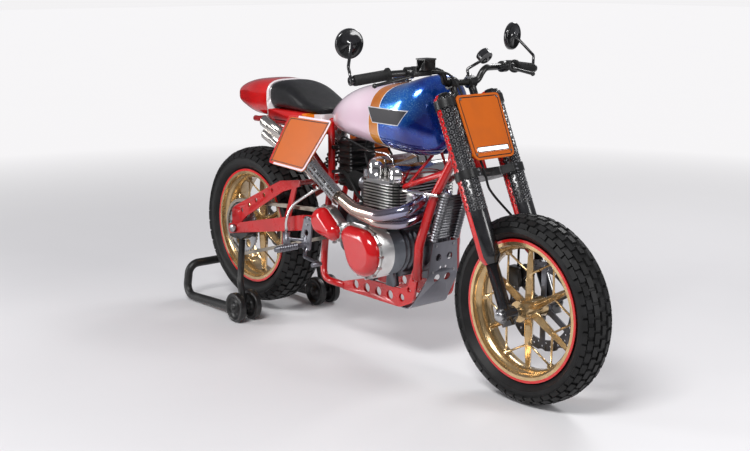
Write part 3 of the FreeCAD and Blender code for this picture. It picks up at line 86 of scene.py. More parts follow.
# %% Wires
class Wire:
    def __init__(self, finish, socket):
        self.finish = finish
        self.socket = socket

    def math(self, operation, *others):
        values = dict(enumerate((self,) + others))
        return self.finish.node("ShaderNodeMath", {"operation": operation}, values)

    def __add__(self, other):
        return self.math("ADD", other)

    def __radd__(self, other):
        return self.math("ADD", other)

    def __sub__(self, other):
        return self.math("SUBTRACT", other)

    def __rsub__(self, other):
        return self.finish.node("ShaderNodeMath", {"operation": "SUBTRACT"}, {0: other, 1: self})

    def __mul__(self, other):
        return self.math("MULTIPLY", other)

    def __rmul__(self, other):
        return self.math("MULTIPLY", other)

    def __truediv__(self, other):
        return self.math("DIVIDE", other)

    def __gt__(self, other):
        return self.math("GREATER_THAN", other)

    def __lt__(self, other):
        return self.math("LESS_THAN", other)

    def ramp(self, low, high):
        """0 below low and 1 above high, with a straight rise between them."""
        return self.finish.node("ShaderNodeMapRange", {}, {"Value": self, "From Min": low, "From Max": high})


# %% [markdown]
# A Finish is one material. Its node method adds any node: its settings go on first, then its inputs. The short
# methods after it name the few nodes that these surfaces need.

# %% Finishes
class Finish:
    def __init__(self, name, colour, roughness, metallic=0.0, coat=0.0):
        self.material = bpy.data.materials.new(name)
        self.material.use_nodes = True
        self.tree = self.material.node_tree
        self.shader = self.tree.nodes["Principled BSDF"]
        self.material.diffuse_color = (*colour, 1.0)
        self.set("Base Color", (*colour, 1.0))
        self.set("Roughness", roughness)
        self.set("Metallic", metallic)
        self.set("Coat Weight", coat)
        self.set("Coat Roughness", 0.06)

    def feed(self, socket, value):
        if isinstance(value, Wire):
            self.tree.links.new(value.socket, socket)
        else:
            socket.default_value = value

    def set(self, name, value):
        self.feed(self.shader.inputs[name], value)

    def node(self, kind, settings, inputs, output=0):
        made = self.tree.nodes.new(kind)
        for key, value in settings.items():
            if key == "stops":
                ramp = made.color_ramp
                while len(ramp.elements) < len(value):
                    ramp.elements.new(1.0)
                for element, (place, colour) in zip(ramp.elements, value):
                    element.position = place
                    element.color = (*colour, 1.0)
            else:
                setattr(made, key, value)
        for key, value in inputs.items():
            self.feed(made.inputs[key], value)
        return Wire(self, made.outputs[output])

    def place(self):
        """The Object coordinates as one vector."""
        return self.node("ShaderNodeTexCoord", {}, {}, "Object")

    def axes(self):
        """The Object coordinates as x, y and z."""
        place = self.place()
        return [self.node("ShaderNodeSeparateXYZ", {}, {0: place}, axis) for axis in range(3)]

    def noise(self, scale, detail, vector=None):
        values = {"Vector": vector or self.place(), "Scale": scale, "Detail": detail}
        return self.node("ShaderNodeTexNoise", {}, values)

    def cells(self, scale, feature="F1"):
        values = {"Vector": self.place(), "Scale": scale}
        return self.node("ShaderNodeTexVoronoi", {"feature": feature}, values)

    def stretched(self, factors):
        return self.node("ShaderNodeVectorMath", {"operation": "MULTIPLY"}, {0: self.place(), 1: factors})

    def mix(self, factor, first, second):
        """first where factor is 0 and second where it is 1, as colours."""
        values = {0: factor, 6: self.colour(first), 7: self.colour(second)}
        return self.node("ShaderNodeMix", {"data_type": "RGBA"}, values, 2)

    def colour(self, value):
        return value if isinstance(value, Wire) else (*value, 1.0)

    def bump(self, height, distance, strength):
        values = {"Height": height, "Distance": distance, "Strength": strength}
        self.set("Normal", self.node("ShaderNodeBump", {}, values))


# %% [markdown]
# Paint is never one flat value. Sprayed gloss has a soft ripple, called orange peel, and a few smears from
# wiping that only its roughness shows. A clear coat on top gives the sharp second highlight.

# %% Paint
def gloss_paint(name, colour, roughness, metallic=0.0, coat=0.7):
    finish = Finish(name, colour, roughness, metallic, coat)
    smears = finish.noise(9.0, 4.0)
    darker = tuple(0.82 * part for part in colour)
    finish.set("Base Color", finish.mix(smears.ramp(0.42, 0.75), colour, darker))
    finish.set("Roughness", roughness + smears.ramp(0.45, 0.8) * 0.14)
    finish.bump(finish.noise(420.0, 1.0), 0.0004, 0.12)
    return finish


def satin_black(name, roughness=0.42, value=0.012):
    """Powder-coated steel: a fine pebble in the coat and a paler bloom of dust in random patches."""
    finish = Finish(name, (value, value, value), roughness)
    dust = finish.noise(26.0, 5.0).ramp(0.5, 0.8)
    finish.set("Base Color", finish.mix(dust, (value, value, value), (value * 2.6, value * 2.5, value * 2.4)))
    finish.set("Roughness", roughness + dust * 0.15)
    finish.bump(finish.noise(1500.0, 2.0), 0.0004, 0.25)
    return finish


frame_red = gloss_paint("frame red", (0.5, 0.004, 0.005), 0.26, coat=0.35)
# On the clutch and sprocket covers this red is a painted reflection of red light; on the starter cable and the
# gauge needle it is their own colour.
reflected_and_painted_red = gloss_paint("reflected and painted red", (0.56, 0.005, 0.008), 0.14)
panel_orange = gloss_paint("panel orange", (0.6, 0.12, 0.003), 0.3, coat=0.2)
line_white = gloss_paint("line white", (0.85, 0.78, 0.8), 0.3, coat=0.3)
line_black = satin_black("line black", 0.35, 0.008)
# The floor of each fork hole is painted near black as painted shade.
painted_hole_shade = satin_black("painted hole shade", 0.7, 0.002)
stand_black = satin_black("stand black")
part_black = satin_black("part black", 0.3, 0.01)
gloss_black = gloss_paint("gloss black", (0.012, 0.012, 0.013), 0.12)
print(len(bpy.data.materials), "materials with the paints")

# %% [markdown]
# Bare metal differs mostly in how it was made. Castings have a fine sandy skin, sheet is brushed along one
# way, machined steel is nearly smooth, and stainless headers go straw and blue where they run hot.

# %% Metals
def cast_metal(name, colour, roughness):
    finish = Finish(name, colour, roughness, 1.0)
    stain = finish.noise(14.0, 6.0)
    darker = tuple(0.55 * part for part in colour)
    finish.set("Base Color", finish.mix(stain.ramp(0.45, 0.85), colour, darker))
    finish.set("Roughness", roughness + stain.ramp(0.4, 0.8) * 0.2)
    finish.bump(finish.noise(900.0, 3.0), 0.0006, 0.4)
    return finish


def brushed_metal(name, colour, roughness, along=(6.0, 300.0, 300.0)):
    finish = Finish(name, colour, roughness, 1.0)
    streaks = finish.noise(3.0, 4.0, finish.stretched(along))
    darker = tuple(0.7 * part for part in colour)
    finish.set("Base Color", finish.mix(streaks, colour, darker))
    finish.set("Roughness", roughness - 0.08 + streaks * 0.24)
    finish.bump(streaks, 0.0002, 0.15)
    return finish


def header_metal(name):
    """Stainless pipe: blue and straw near the ports, plain and slightly brown further back."""
    finish = brushed_metal(name, (0.6, 0.57, 0.53), 0.16, (200.0, 200.0, 6.0))
    x = finish.axes()[0]
    patchy = x + finish.noise(7.0, 3.0) * 0.1
    stops = [(0.0, (0.62, 0.59, 0.56)), (0.55, (0.6, 0.52, 0.42)), (0.78, (0.5, 0.36, 0.3)),
             (0.95, (0.33, 0.33, 0.45))]
    tint = finish.node("ShaderNodeValToRGB", {"stops": stops}, {"Fac": patchy.ramp(-0.45, 0.42)})
    finish.set("Base Color", tint)
    return finish


def finned_metal(name, colour, rear, front, half, top):
    """Cast fins with painted shade in their gaps: what lies further in than a few millimetres is painted dark.
    """
    finish = cast_metal(name, colour, 0.32)
    x, y, z = finish.axes()
    # Painted shade: fin faces more than 4 mm inside the block's outline, below the top, are painted near
    # black.
    painted_fin_shade = (x > rear + 0.004) * (x < front - 0.004) * (y.math("ABSOLUTE") < half - 0.004) * (z < top)
    stain = finish.noise(14.0, 6.0).ramp(0.45, 0.85)
    bright = finish.mix(stain, colour, tuple(0.6 * part for part in colour))
    finish.set("Base Color", finish.mix(painted_fin_shade * 0.9, bright, (0.03, 0.028, 0.026)))
    return finish


head_alloy = cast_metal("head alloy", (0.72, 0.71, 0.7), 0.3)
fin_alloy = finned_metal("finned alloy", (0.8, 0.79, 0.77), 0.061, 0.261, 0.143, 0.659)
case_alloy = cast_metal("case alloy", (0.17, 0.18, 0.2), 0.36)
sheet_alloy = brushed_metal("sheet alloy", (0.26, 0.26, 0.29), 0.34, (8.0, 260.0, 8.0))
cooler_alloy = cast_metal("cooler alloy", (0.33, 0.33, 0.35), 0.34)
polished = brushed_metal("polished alloy", (0.82, 0.81, 0.8), 0.1)
steel = brushed_metal("machined steel", (0.52, 0.52, 0.53), 0.24)
dark_steel = cast_metal("dark steel", (0.09, 0.09, 0.1), 0.36)
chain_steel = cast_metal("oiled chain steel", (0.36, 0.32, 0.27), 0.34)
gold_hardware = brushed_metal("gold hardware", (0.72, 0.5, 0.22), 0.25)
header = header_metal("heat-tinted header")
print(len(bpy.data.materials), "materials with the metals")

# %% [markdown]
# The wheels are champagne gold with a red lip. The lip is a ring round the axle, so its mask is the distance
# from the axle, worked out from the Object coordinates.

# %% Wheel paint
def wheel_gold(name, axle):
    finish = gloss_paint(name, (0.62, 0.43, 0.2), 0.2, 0.85, 0.5)
    x, _, z = finish.axes()
    across, height = x - axle.x, z - axle.z
    radius = (across * across + height * height).math("SQRT")
    lip = radius > RIM_LIP_R - 0.0085
    grain = finish.noise(30.0, 4.0)
    gold = finish.mix(grain.ramp(0.4, 0.8), (0.66, 0.47, 0.24), (0.46, 0.3, 0.13))
    finish.set("Base Color", finish.mix(lip, gold, (0.62, 0.012, 0.012)))
    finish.set("Metallic", 0.85 - lip * 0.85)
    return finish


front_gold = wheel_gold("front wheel gold", FRONT_AXLE)
rear_gold = wheel_gold("rear wheel gold", REAR_AXLE)
print("red lip from", round(RIM_LIP_R - 0.0085, 4), "m out")

# %% [markdown]
# The tank is pale behind, with a curved gold band and a metal-flake blue front. On the blue a cyan highlight
# is painted, and the flake specks are painted as bright glints that are strongest in it. Seen from above the
# band runs forwards to the middle, so its edges are a fixed x on the sides plus a bell curve of the distance
# from the middle plane. The blank badge place, the seam above the lower edge and the small plain red hexagon
# on top are masks of the same kind.

# %% Tank paint
def tank_colours():
    finish = Finish("tank colours", (0.02, 0.06, 0.4), 0.14, 0.0, 1.0)
    x, y, z = finish.axes()

    def edge(start, rise, width):
        bell = (y * y / (-width * width)).math("EXPONENT")
        return x - (bell * rise + start) - (z - 0.9) * 0.1

    def badge(grow):
        """1 inside a trapezoid that is wider at its top, grown by grow all round."""
        height = z - 0.859
        rear = x - (0.138 - grow) + height * 0.55
        ahead = (0.268 + grow) + height * 0.8 - x
        tall = (z > 0.859 - grow) * (z < 0.907 + grow)
        return tall * (rear > 0.0) * (ahead > 0.0) * (y.math("ABSOLUTE") > 0.09)

    gold_edge, blue_edge = edge(0.119, 0.085, 0.055), edge(0.172, 0.115, 0.068)
    flakes = finish.cells(520.0)
    painted_flake_glints = finish.noise(300.0, 2.0).ramp(0.56, 0.66)
    drift = finish.noise(7.0, 5.0).ramp(0.38, 0.66)
    blue = finish.mix(drift, (0.004, 0.014, 0.2), (0.006, 0.09, 0.55))
    # Painted highlight: a cyan patch near the top of the blue, towards the front, stands for light falling
    # there.
    painted_highlight = ((x - 0.24) * (x - 0.24) * 60.0 + (z - 0.93) * (z - 0.93) * 130.0).ramp(1.0, 0.0)
    blue = finish.mix(painted_highlight * 0.55, blue, (0.01, 0.26, 0.85))
    # The flake specks are painted bright cyan as glints: faintly in random patches, strongest in the painted
    # highlight.
    blue = finish.mix(painted_flake_glints * (painted_highlight * 0.5 + drift * 0.3), blue, (0.3, 0.75, 1.0))
    gold = finish.mix(drift, (0.5, 0.13, 0.012), (0.74, 0.29, 0.03))
    pale = finish.mix(finish.noise(5.0, 2.0).ramp(0.4, 0.7), (0.8, 0.58, 0.69), (0.84, 0.7, 0.77))
    white = (0.86, 0.84, 0.84)
    colour = finish.mix(gold_edge > 0.0, pale, white)
    colour = finish.mix(gold_edge > 0.002, colour, gold)
    colour = finish.mix(blue_edge > -0.004, colour, white)
    colour = finish.mix(blue_edge > 0.0, colour, blue)
    seam_line = z - 0.772 - (x - 0.261) * (x - 0.261) * 0.25
    seam = (seam_line > 0.0) * (seam_line < 0.0022)
    colour = finish.mix(seam * 0.7, colour, white)
    frame_line, plate = badge(0.003), badge(0.0)
    colour = finish.mix(frame_line, colour, (0.7, 0.7, 0.72))
    colour = finish.mix(plate, colour, (0.02, 0.018, 0.022))
    ahead_of, beside = (x - 0.218).math("ABSOLUTE"), y.math("ABSOLUTE")
    hexagon = beside.math("MAXIMUM", beside * 0.5 + ahead_of * 0.866)
    colour = finish.mix((hexagon < 0.0125) * (z > 0.95), colour, (0.6, 0.4, 0.12))
    colour = finish.mix((hexagon < 0.011) * (z > 0.95), colour, (0.5, 0.008, 0.01))
    finish.set("Base Color", colour)
    finish.set("Metallic", (blue_edge > 0.0) * (1.0 - frame_line) * 0.6)
    finish.set("Roughness", 0.13 + flakes.ramp(0.0, 0.6) * 0.08 + plate * 0.3)
    finish.set("Coat Weight", 1.0 - plate)
    finish.bump(finish.noise(300.0, 1.0) * 0.1 + frame_line - plate * 0.6 - seam * 0.5, 0.001, 0.5)
    return finish


tank_paint = tank_colours()
print(len(tank_paint.tree.nodes), "nodes in the tank's colours")

# %% [markdown]
# The tail is red up to the seat, and the seat base runs on in orange and white. A side plate has a rim that is
# red at its rear and pale along its front and foot. Each edge is a mask in x and z.

# %% Tail and plate rim paint
def tail_colours():
    """Red, with a white edge at the seat, then an orange and a white length of the seat base."""
    finish = gloss_paint("tail colours", (0.6, 0.008, 0.008), 0.14)
    x, _, z = finish.axes()
    red = finish.mix(finish.noise(9.0, 4.0).ramp(0.4, 0.8), (0.62, 0.008, 0.008), (0.4, 0.004, 0.006))
    colour = finish.mix(x > -0.5505, red, (0.84, 0.78, 0.79))
    colour = finish.mix((x > -0.54) * (z < 0.843), colour, red)
    colour = finish.mix(x > -0.321, colour, (0.84, 0.2, 0.01))
    colour = finish.mix(x > -0.273, colour, (0.84, 0.78, 0.8))
    finish.set("Base Color", colour)
    return finish


def border_colours():
    """The rim of a side plate: red at its rear and pale along its front and foot."""
    finish = gloss_paint("side plate border", (0.84, 0.74, 0.79), 0.26)
    x, _, z = finish.axes()
    rear = x - (z - 0.65) * 0.476 < -0.378
    finish.set("Base Color", finish.mix(rear, (0.84, 0.72, 0.78), (0.58, 0.01, 0.012)))
    return finish


tail_paint = tail_colours()
border_paint = border_colours()
print(len(bpy.data.materials), "materials with the sprayed colours")

# %% [markdown]
# The wide upper fork tubes are satin black, and a red band down both flanks is a painted reflection of red
# light. The band is a range of the turn round each tube, so it is worked out from the two distances from the
# tube's own middle line.

# %% Fork paint
def fork_finish(name, dark, worn_dark, roughness, metallic):
    finish = satin_black(name, roughness, 0.011)
    x, y, z = finish.axes()
    ahead = (x - FRONT_AXLE.x) * AHEAD.x + (z - FRONT_AXLE.z) * AHEAD.z
    beside = y.math("ABSOLUTE") - FORK_HALF
    turn = beside.math("ARCTAN2", ahead)
    # Painted reflection: a band on each flank is painted red for red light glancing off the black tube.
    painted_red_reflection = (turn.math("ABSOLUTE") - 1.8).math("ABSOLUTE") < 0.4
    worn = finish.noise(24.0, 4.0).ramp(0.45, 0.8)
    black = finish.mix(worn, dark, worn_dark)
    red = finish.mix(worn, (0.6, 0.006, 0.006), (0.42, 0.006, 0.006))
    finish.set("Base Color", finish.mix(painted_red_reflection, black, red))
    finish.set("Metallic", (1.0 - painted_red_reflection) * metallic)
    finish.set("Coat Weight", 0.5)
    return finish


fork_tube_finish = fork_finish("fork black", (0.008, 0.008, 0.009), (0.024, 0.024, 0.026), 0.22, 0.0)
fork_rim_finish = fork_finish("fork rims", (0.24, 0.24, 0.25), (0.1, 0.1, 0.11), 0.3, 0.9)
print(len(fork_tube_finish.tree.nodes), "nodes in the fork's black")

# %% [markdown]
# Rubber and leather scatter light from a fine relief. Tyre rubber is matt with a grey bloom, grip rubber is
# blacker, and the seat's leather has small pebbled cells with soft creases between them.

# %% Rubber, leather, glass and lamp
def rubber(name, value, roughness):
    finish = Finish(name, (value, value, value), roughness)
    finish.set("Specular IOR Level", 0.25)
    bloom = finish.noise(18.0, 5.0).ramp(0.45, 0.8)
    dusty = (value * 2.2, value * 2.2, value * 2.3)
    finish.set("Base Color", finish.mix(bloom, (value, value, value), dusty))
    finish.set("Roughness", roughness + bloom * 0.12)
    finish.bump(finish.noise(700.0, 3.0), 0.0005, 0.35)
    return finish


def leather(name):
    finish = Finish(name, (0.007, 0.007, 0.008), 0.3, 0.0, 0.03)
    finish.set("Specular IOR Level", 0.22)
    pebble = finish.cells(420.0, "DISTANCE_TO_EDGE")
    crease = finish.noise(28.0, 4.0)
    finish.set("Base Color", finish.mix(crease, (0.005, 0.005, 0.006), (0.016, 0.016, 0.018)))
    finish.set("Roughness", 0.24 + crease * 0.2)
    x, y, z = finish.axes()
    seam = (y.math("ABSOLUTE") - 0.062).math("ABSOLUTE").ramp(0.0016, 0.0006) * (z > 0.9)
    cross = ((x + 0.47).math("ABSOLUTE") - 0.03).math("ABSOLUTE").ramp(0.0016, 0.0006) * (z > 0.9)
    finish.bump(pebble.ramp(0.0, 0.12) * 0.5 + crease - (seam + cross) * 1.6, 0.0011, 0.7)
    return finish


def glow(name, colour, strength):
    """A lit lens: small round cells show as brighter dots behind it."""
    finish = Finish(name, colour, 0.3)
    dots = finish.cells(110.0).ramp(0.55, 0.2)
    finish.set("Emission Color", finish.mix(dots, tuple(0.86 * part for part in colour), colour))
    finish.set("Emission Strength", strength)
    finish.set("Roughness", 0.2 + dots * 0.1)
    finish.bump(dots, 0.0004, 0.3)
    return finish


def wiped_glass(name, colour, roughness, metallic):
    """Glass or a mirror with faint smears that only show where light glances off."""
    finish = Finish(name, colour, roughness, metallic)
    smears = finish.noise(34.0, 5.0).ramp(0.5, 0.85)
    finish.set("Base Color", finish.mix(smears, colour, tuple(0.9 * part for part in colour)))
    finish.set("Roughness", roughness + smears * 0.1)
    finish.bump(finish.noise(60.0, 1.0), 0.0002, 0.05)
    return finish


tyre_rubber = rubber("tyre rubber", 0.009, 0.5)
grip_rubber = rubber("grip rubber", 0.012, 0.55)
filter_foam = rubber("filter foam", 0.01, 0.8)
seat_leather = leather("seat leather")
lamp_lens = glow("lamp lens", (0.95, 0.97, 1.0), 1.6)
mirror_glass = wiped_glass("mirror glass", (0.75, 0.77, 0.8), 0.03, 1.0)
dial_face = satin_black("dial face", 0.3, 0.008)
print(len(bpy.data.materials), "materials with the soft ones")

# %% [markdown]
# A CAD node arrives as loose triangles. Its skin is a merged copy whose faces are shaded smooth, except
# where two faces meet at a real edge. It stands for the node and rides on the same body.

# %% Skins over the CAD nodes
def finish_mesh(name, bm, body, finishes, sharp=35.0, recalculate=True):
    """Makes bm an object at the origin that rides on a body."""
    if recalculate:
        bmesh.ops.recalc_face_normals(bm, faces=bm.faces)
    mesh = bpy.data.meshes.new(name)
    bm.to_mesh(mesh)
    bm.free()
    for finish in finishes:
        mesh.materials.append(finish.material)
    mesh.shade_smooth()
    mesh.set_sharp_from_angle(angle=radians(sharp))
    piece = bpy.data.objects.new(name, mesh)
    bpy.context.scene.collection.objects.link(piece)
    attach(piece, body)
    return piece


def skin(node, finish, sharp=32.0, parts=None):
    """parts(face) picks each face's place in the list of finishes."""
    finishes = finish if isinstance(finish, list) else [finish]
    bm = bmesh.new()
    bm.from_mesh(nodes[node].data)
    bmesh.ops.remove_doubles(bm, verts=bm.verts, dist=2e-6)
    for face in bm.faces:
        face.material_index = parts(face) if parts else 0
    piece = finish_mesh(node + "_skin", bm, body_of_node[node], finishes, sharp, recalculate=False)
    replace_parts(piece, node)
    return piece


# %% [markdown]
# Some CAD nodes hold two materials, such as an engine cover on a bare casting whose outer face is painted red,
# a painted reflection of red light. Each function here looks at the middle of a face and picks the first or
# the second finish of its node.

# %% Faces with a second finish
def near_axle(axle, radius):
    """Picks the second finish for what lies close to an axle."""
    def pick(face):
        middle = face.calc_center_median()
        return 1 if hypot(middle.x - axle.x, middle.z - axle.z) < radius else 0
    return pick


def above(level):
    return lambda face: 1 if face.calc_center_median().z > level else 0


def inboard(half):
    return lambda face: 1 if abs(face.calc_center_median().y) < half else 0


def behind(level):
    return lambda face: 1 if face.calc_center_median().x < level else 0


def outboard_right(level):
    return lambda face: 1 if face.calc_center_median().y < level else 0


def pipe_part(face):
    """The oil pipe and the rear brake pipe are bare metal, the battery case and the leads are black."""
    middle = face.calc_center_median()
    return 1 if middle.y < -0.078 else 0


# %% [markdown]
# Most nodes have one finish, and the others have two with the function that picks between them. The tyres, the
# seat and the rear shock aren't named here, because they are modelled further on.

# %% Finishes of the nodes
plain_skins = {
    "frame_spine": frame_red, "frame_cradle": frame_red, "subframe": frame_red, "skid_plate": sheet_alloy,
    "barrels": part_black, "exhaust_pipes": header, "exhaust_shield": steel, "fuel_tank": tank_paint,
    "filler_cap": gloss_black, "tail": tail_paint, "number_panels": panel_orange, "chain": chain_steel,
    "footrests": sheet_alloy, "paddock_stand": stand_black, "stand_rollers_right": part_black,
    "stand_rollers_left": part_black, "yokes": part_black, "fork_tubes": fork_tube_finish,
    "front_caliper": part_black, "handlebar": part_black, "grips": grip_rubber, "lever_perches": part_black,
    "mirrors": gloss_black, "gauge": gloss_black, "front_plate": panel_orange, "front_lamp": lamp_lens,
    "front_rim": front_gold, "front_disc": dark_steel, "rear_rim": rear_gold, "rear_disc": dark_steel,
    "rear_sprocket": steel, "front_hoses": grip_rubber,
}
split_skins = {
    "cylinder_head": ([fin_alloy, polished], above(0.662)),
    "crankcase": ([case_alloy, head_alloy], outboard_right(-0.1095)),
    # The outer faces of the clutch and sprocket covers are painted red as a painted reflection of red light.
    "clutch_cover": ([head_alloy, reflected_and_painted_red], outboard_right(-0.1686)),
    "sprocket_cover": ([head_alloy, reflected_and_painted_red], outboard_right(-0.1486)),
    "oil_cooler": ([cooler_alloy, dark_steel], inboard(0.034)),
    "carburettors": ([cooler_alloy, filter_foam], behind(-0.0132)),
    "engine_lines": ([part_black, polished], pipe_part),
    "fork_legs": ([gloss_black, steel], near_axle(FRONT_AXLE, 0.0165)),
    "swingarm": ([frame_red, steel], near_axle(REAR_AXLE, 0.0165)),
}
# The plates are flat, so a small angle keeps their rounded rims from bending the light across them.
FLAT_PLATES = ("number_panels", "front_plate")
for node, finish in plain_skins.items():
    skin(node, finish, 6.0 if node in FLAT_PLATES else 32.0)
for node, (finishes, pick) in split_skins.items():
    skin(node, finishes, parts=pick)
print("skins on", len(plain_skins) + len(split_skins), "nodes")

# %% [markdown]
# A tyre's carcass is one profile that is spun round the axle. The profile runs up a sidewall, over the crown
# and down the other side, and its crown is a circle made fuller and squarer.

# %% Tyre profile
BEAD_R = 0.218
TREAD_DEPTH = 0.006
CROWN_STEPS = 14
CROWN_POWER = 0.84


def blunted(level, power):
    """A sine or cosine brought nearer to 1, so that a circle turns into a fuller, squarer section."""
    return copysign(abs(level) ** power, level)


def waist_radius(outer):
    """Where the sidewall is widest, about midway from the bead to the crown."""
    return (outer + BEAD_R) / 2 - 0.004


def tyre_profile(outer, half, rim_half):
    """(radius, y) points from one bead over the crown to the other."""
    waist = waist_radius(outer)
    side = [(0.219, rim_half - 0.0105), (0.234, rim_half - 0.009), (0.242, rim_half + 0.002),
            (0.252, half - 0.004)]
    crown = []
    for i in range(CROWN_STEPS + 1):
        turn = pi * i / CROWN_STEPS
        radius = waist + (outer - waist) * blunted(sin(turn), CROWN_POWER)
        crown.append((radius, half * blunted(cos(turn), CROWN_POWER)))
    return side + crown + [(r, -y) for r, y in reversed(side)]


# %% [markdown]
# The tread is made of separate blocks. A block is a small cube that narrows upwards. It is copied to its place
# across the crown and then round the wheel, and every second row stands half a block further round.

# %% Tyres and tread
def tyre_piece(name, node, axle, outer, half, rim_half, pitches, rows):
    """rows holds one (angle across the crown, width, length, offset in pitches) for each row of blocks."""
    bm = bmesh.new()
    profile = tyre_profile(outer - TREAD_DEPTH, half, rim_half)
    verts = [bm.verts.new(axle + Vector((0.0, y, r))) for r, y in profile]
    edges = [bm.edges.new(pair) for pair in zip(verts, verts[1:])]
    bmesh.ops.spin(bm, geom=verts + edges, cent=axle, axis=ACROSS, angle=2 * pi, steps=112, use_merge=True)
    waist = waist_radius(outer)
    for turn, width, length, offset in rows:
        y = half * blunted(sin(turn), CROWN_POWER)
        radius = waist + (outer - TREAD_DEPTH - waist) * blunted(cos(turn), CROWN_POWER)
        slope = atan2((outer - waist) * sin(turn), half * cos(turn))
        for i in range(pitches):
            made = bmesh.ops.create_cube(bm, size=1.0)["verts"]
            bmesh.ops.scale(bm, vec=Vector((length, width, TREAD_DEPTH * 2)), verts=made)
            top = [v for v in made if v.co.z > 0]
            bmesh.ops.scale(bm, vec=Vector((0.88, 0.88, 1.0)), verts=top)
            lean = Matrix.Rotation(-slope, 4, "X")
            bmesh.ops.transform(bm, matrix=Matrix.Translation((0.0, y, radius)) @ lean, verts=made)
            spin = Matrix.Rotation(2 * pi * (i + offset) / pitches, 4, "Y")
            bmesh.ops.transform(bm, matrix=Matrix.Translation(axle) @ spin, verts=made)
    piece = finish_mesh(name, bm, body_of_node[node], [tyre_rubber], 40.0)
    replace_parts(piece, node)
    return piece


def tread_rows(half, block, length):
    """Staggered rows from the middle out to the shoulders."""
    rows = []
    for row, turn in enumerate((0.0, 0.36, 0.74, 1.12)):
        for s in ((1,) if turn == 0.0 else SIDES):
            width = block if turn < 1.0 else block * 0.9
            rows.append((turn * s, width, length * (1.0 if row % 2 else 0.86), 0.5 * (row % 2)))
    return rows


front_tyre = tyre_piece("front_tyre_treaded", "front_tyre", FRONT_AXLE, 0.3055, 0.06, 0.046, 44,
                        tread_rows(0.06, 0.019, 0.037))
rear_tyre = tyre_piece("rear_tyre_treaded", "rear_tyre", REAR_AXLE, 0.3173, 0.082, 0.066, 42,
                       tread_rows(0.082, 0.026, 0.041))
print("tyre faces", len(front_tyre.data.polygons), len(rear_tyre.data.polygons))

# %% [markdown]
# The seat pad is upholstery: leather over foam, with a raised hump at the tail. It is lofted by extruding one
# ring of edges from station to station, and each ring is pressed into a rounded section. Subdivision makes
# the leather read as one stretched cover.

# %% Seat pad
SEAT_LOW = 0.8423
SEAT_POWER = 0.62
seat_stations = (
    (-0.5427, 0.086, 0.935), (-0.54, 0.097, 0.947), (-0.51, 0.1, 0.953), (-0.47, 0.101, 0.951),
    (-0.43, 0.102, 0.944), (-0.396, 0.102, 0.933), (-0.343, 0.099, 0.905), (-0.295, 0.09, 0.883),
    (-0.256, 0.07, 0.869), (-0.2475, 0.055, 0.86),
)


def section_point(turn, x, half, high):
    """A point of the seat's rounded section. Turn 0 is the left edge and a quarter turn is the top."""
    middle, tall = (SEAT_LOW + high) / 2, (high - SEAT_LOW) / 2
    y = half * blunted(cos(turn), SEAT_POWER)
    return Vector((x, y, middle + tall * blunted(sin(turn), SEAT_POWER)))


def only_verts(geom):
    """The vertices among what an operator returns."""
    return [g for g in geom if isinstance(g, bmesh.types.BMVert)]


def loft(stations):
    """A closed shape through (x, half width, top) stations."""
    bm = bmesh.new()
    ring = bmesh.ops.create_circle(bm, segments=36, radius=1.0, cap_ends=True)["verts"]
    turns = [atan2(v.co.y, v.co.x) for v in ring]
    for i, station in enumerate(stations):
        if i:
            edges = [bm.edges.get(pair) for pair in zip(ring, ring[1:] + ring[:1])]
            made = bmesh.ops.extrude_edge_only(bm, edges=edges)["geom"]
            new_verts = set(only_verts(made))
            ring = [next(e.other_vert(v) for e in v.link_edges if e.other_vert(v) in new_verts) for v in ring]
        for v, turn in zip(ring, turns):
            v.co = section_point(turn, *station)
    bmesh.ops.contextual_create(bm, geom=ring)
    return bm


seat_pad = finish_mesh("seat_pad", loft(seat_stations), "chassis", [seat_leather], 60.0)
smooth = seat_pad.modifiers.new("stretch", "SUBSURF")
smooth.levels = smooth.render_levels = 2
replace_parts(seat_pad, "seat")
print("seat pad", len(seat_pad.data.polygons), "faces before subdivision")

# %% [markdown]
# Piping, hoses and leads are all round tubes. Each is a curve with a bevel, turned into a mesh so that it gets
# its finish and its body like any other piece. The seat's pale piping is sewn round the rear of its hump.

# %% Tubes and seat piping
def spline(curve, points):
    line = curve.splines.new("POLY")
    line.points.add(len(points) - 1)
    for place, point in zip(line.points, points):
        place.co = (*point, 1.0)


def mesh_of_curve(curve):
    source = bpy.data.objects.new(curve.name, curve)
    bpy.context.scene.collection.objects.link(source)
    bpy.context.view_layer.update()
    bm = bmesh.new()
    bm.from_mesh(bpy.data.meshes.new_from_object(source))
    bpy.data.objects.remove(source)
    bmesh.ops.remove_doubles(bm, verts=bm.verts, dist=1e-6)
    return bm


def tube_piece(name, points, radius, body, finish):
    """A round tube through points: a curve with a bevel, turned into a mesh."""
    curve = bpy.data.curves.new(name, "CURVE")
    curve.dimensions = "3D"
    curve.bevel_depth = radius
    curve.bevel_resolution = 3
    spline(curve, points)
    return finish_mesh(name, mesh_of_curve(curve), body, [finish], 60.0)


piping_points = [section_point(pi * i / 40, -0.5408, 0.0985, 0.9485) for i in range(41)]
tube_piece("seat_piping", piping_points, 0.0017, "chassis", line_white)
print("piping through", len(piping_points), "points")

# %% [markdown]
# The three orange plates are blank, with a black pinline and, on the side plates, a painted border. One
# matrix puts a flat piece on its plate: its columns are the plate's right, its up and the way it faces.

# %% Pinlines and borders
def on_plane(right, up, origin):
    facing = right.cross(up)
    return Matrix.Translation(origin) @ Matrix((right, up, facing)).transposed().to_4x4()


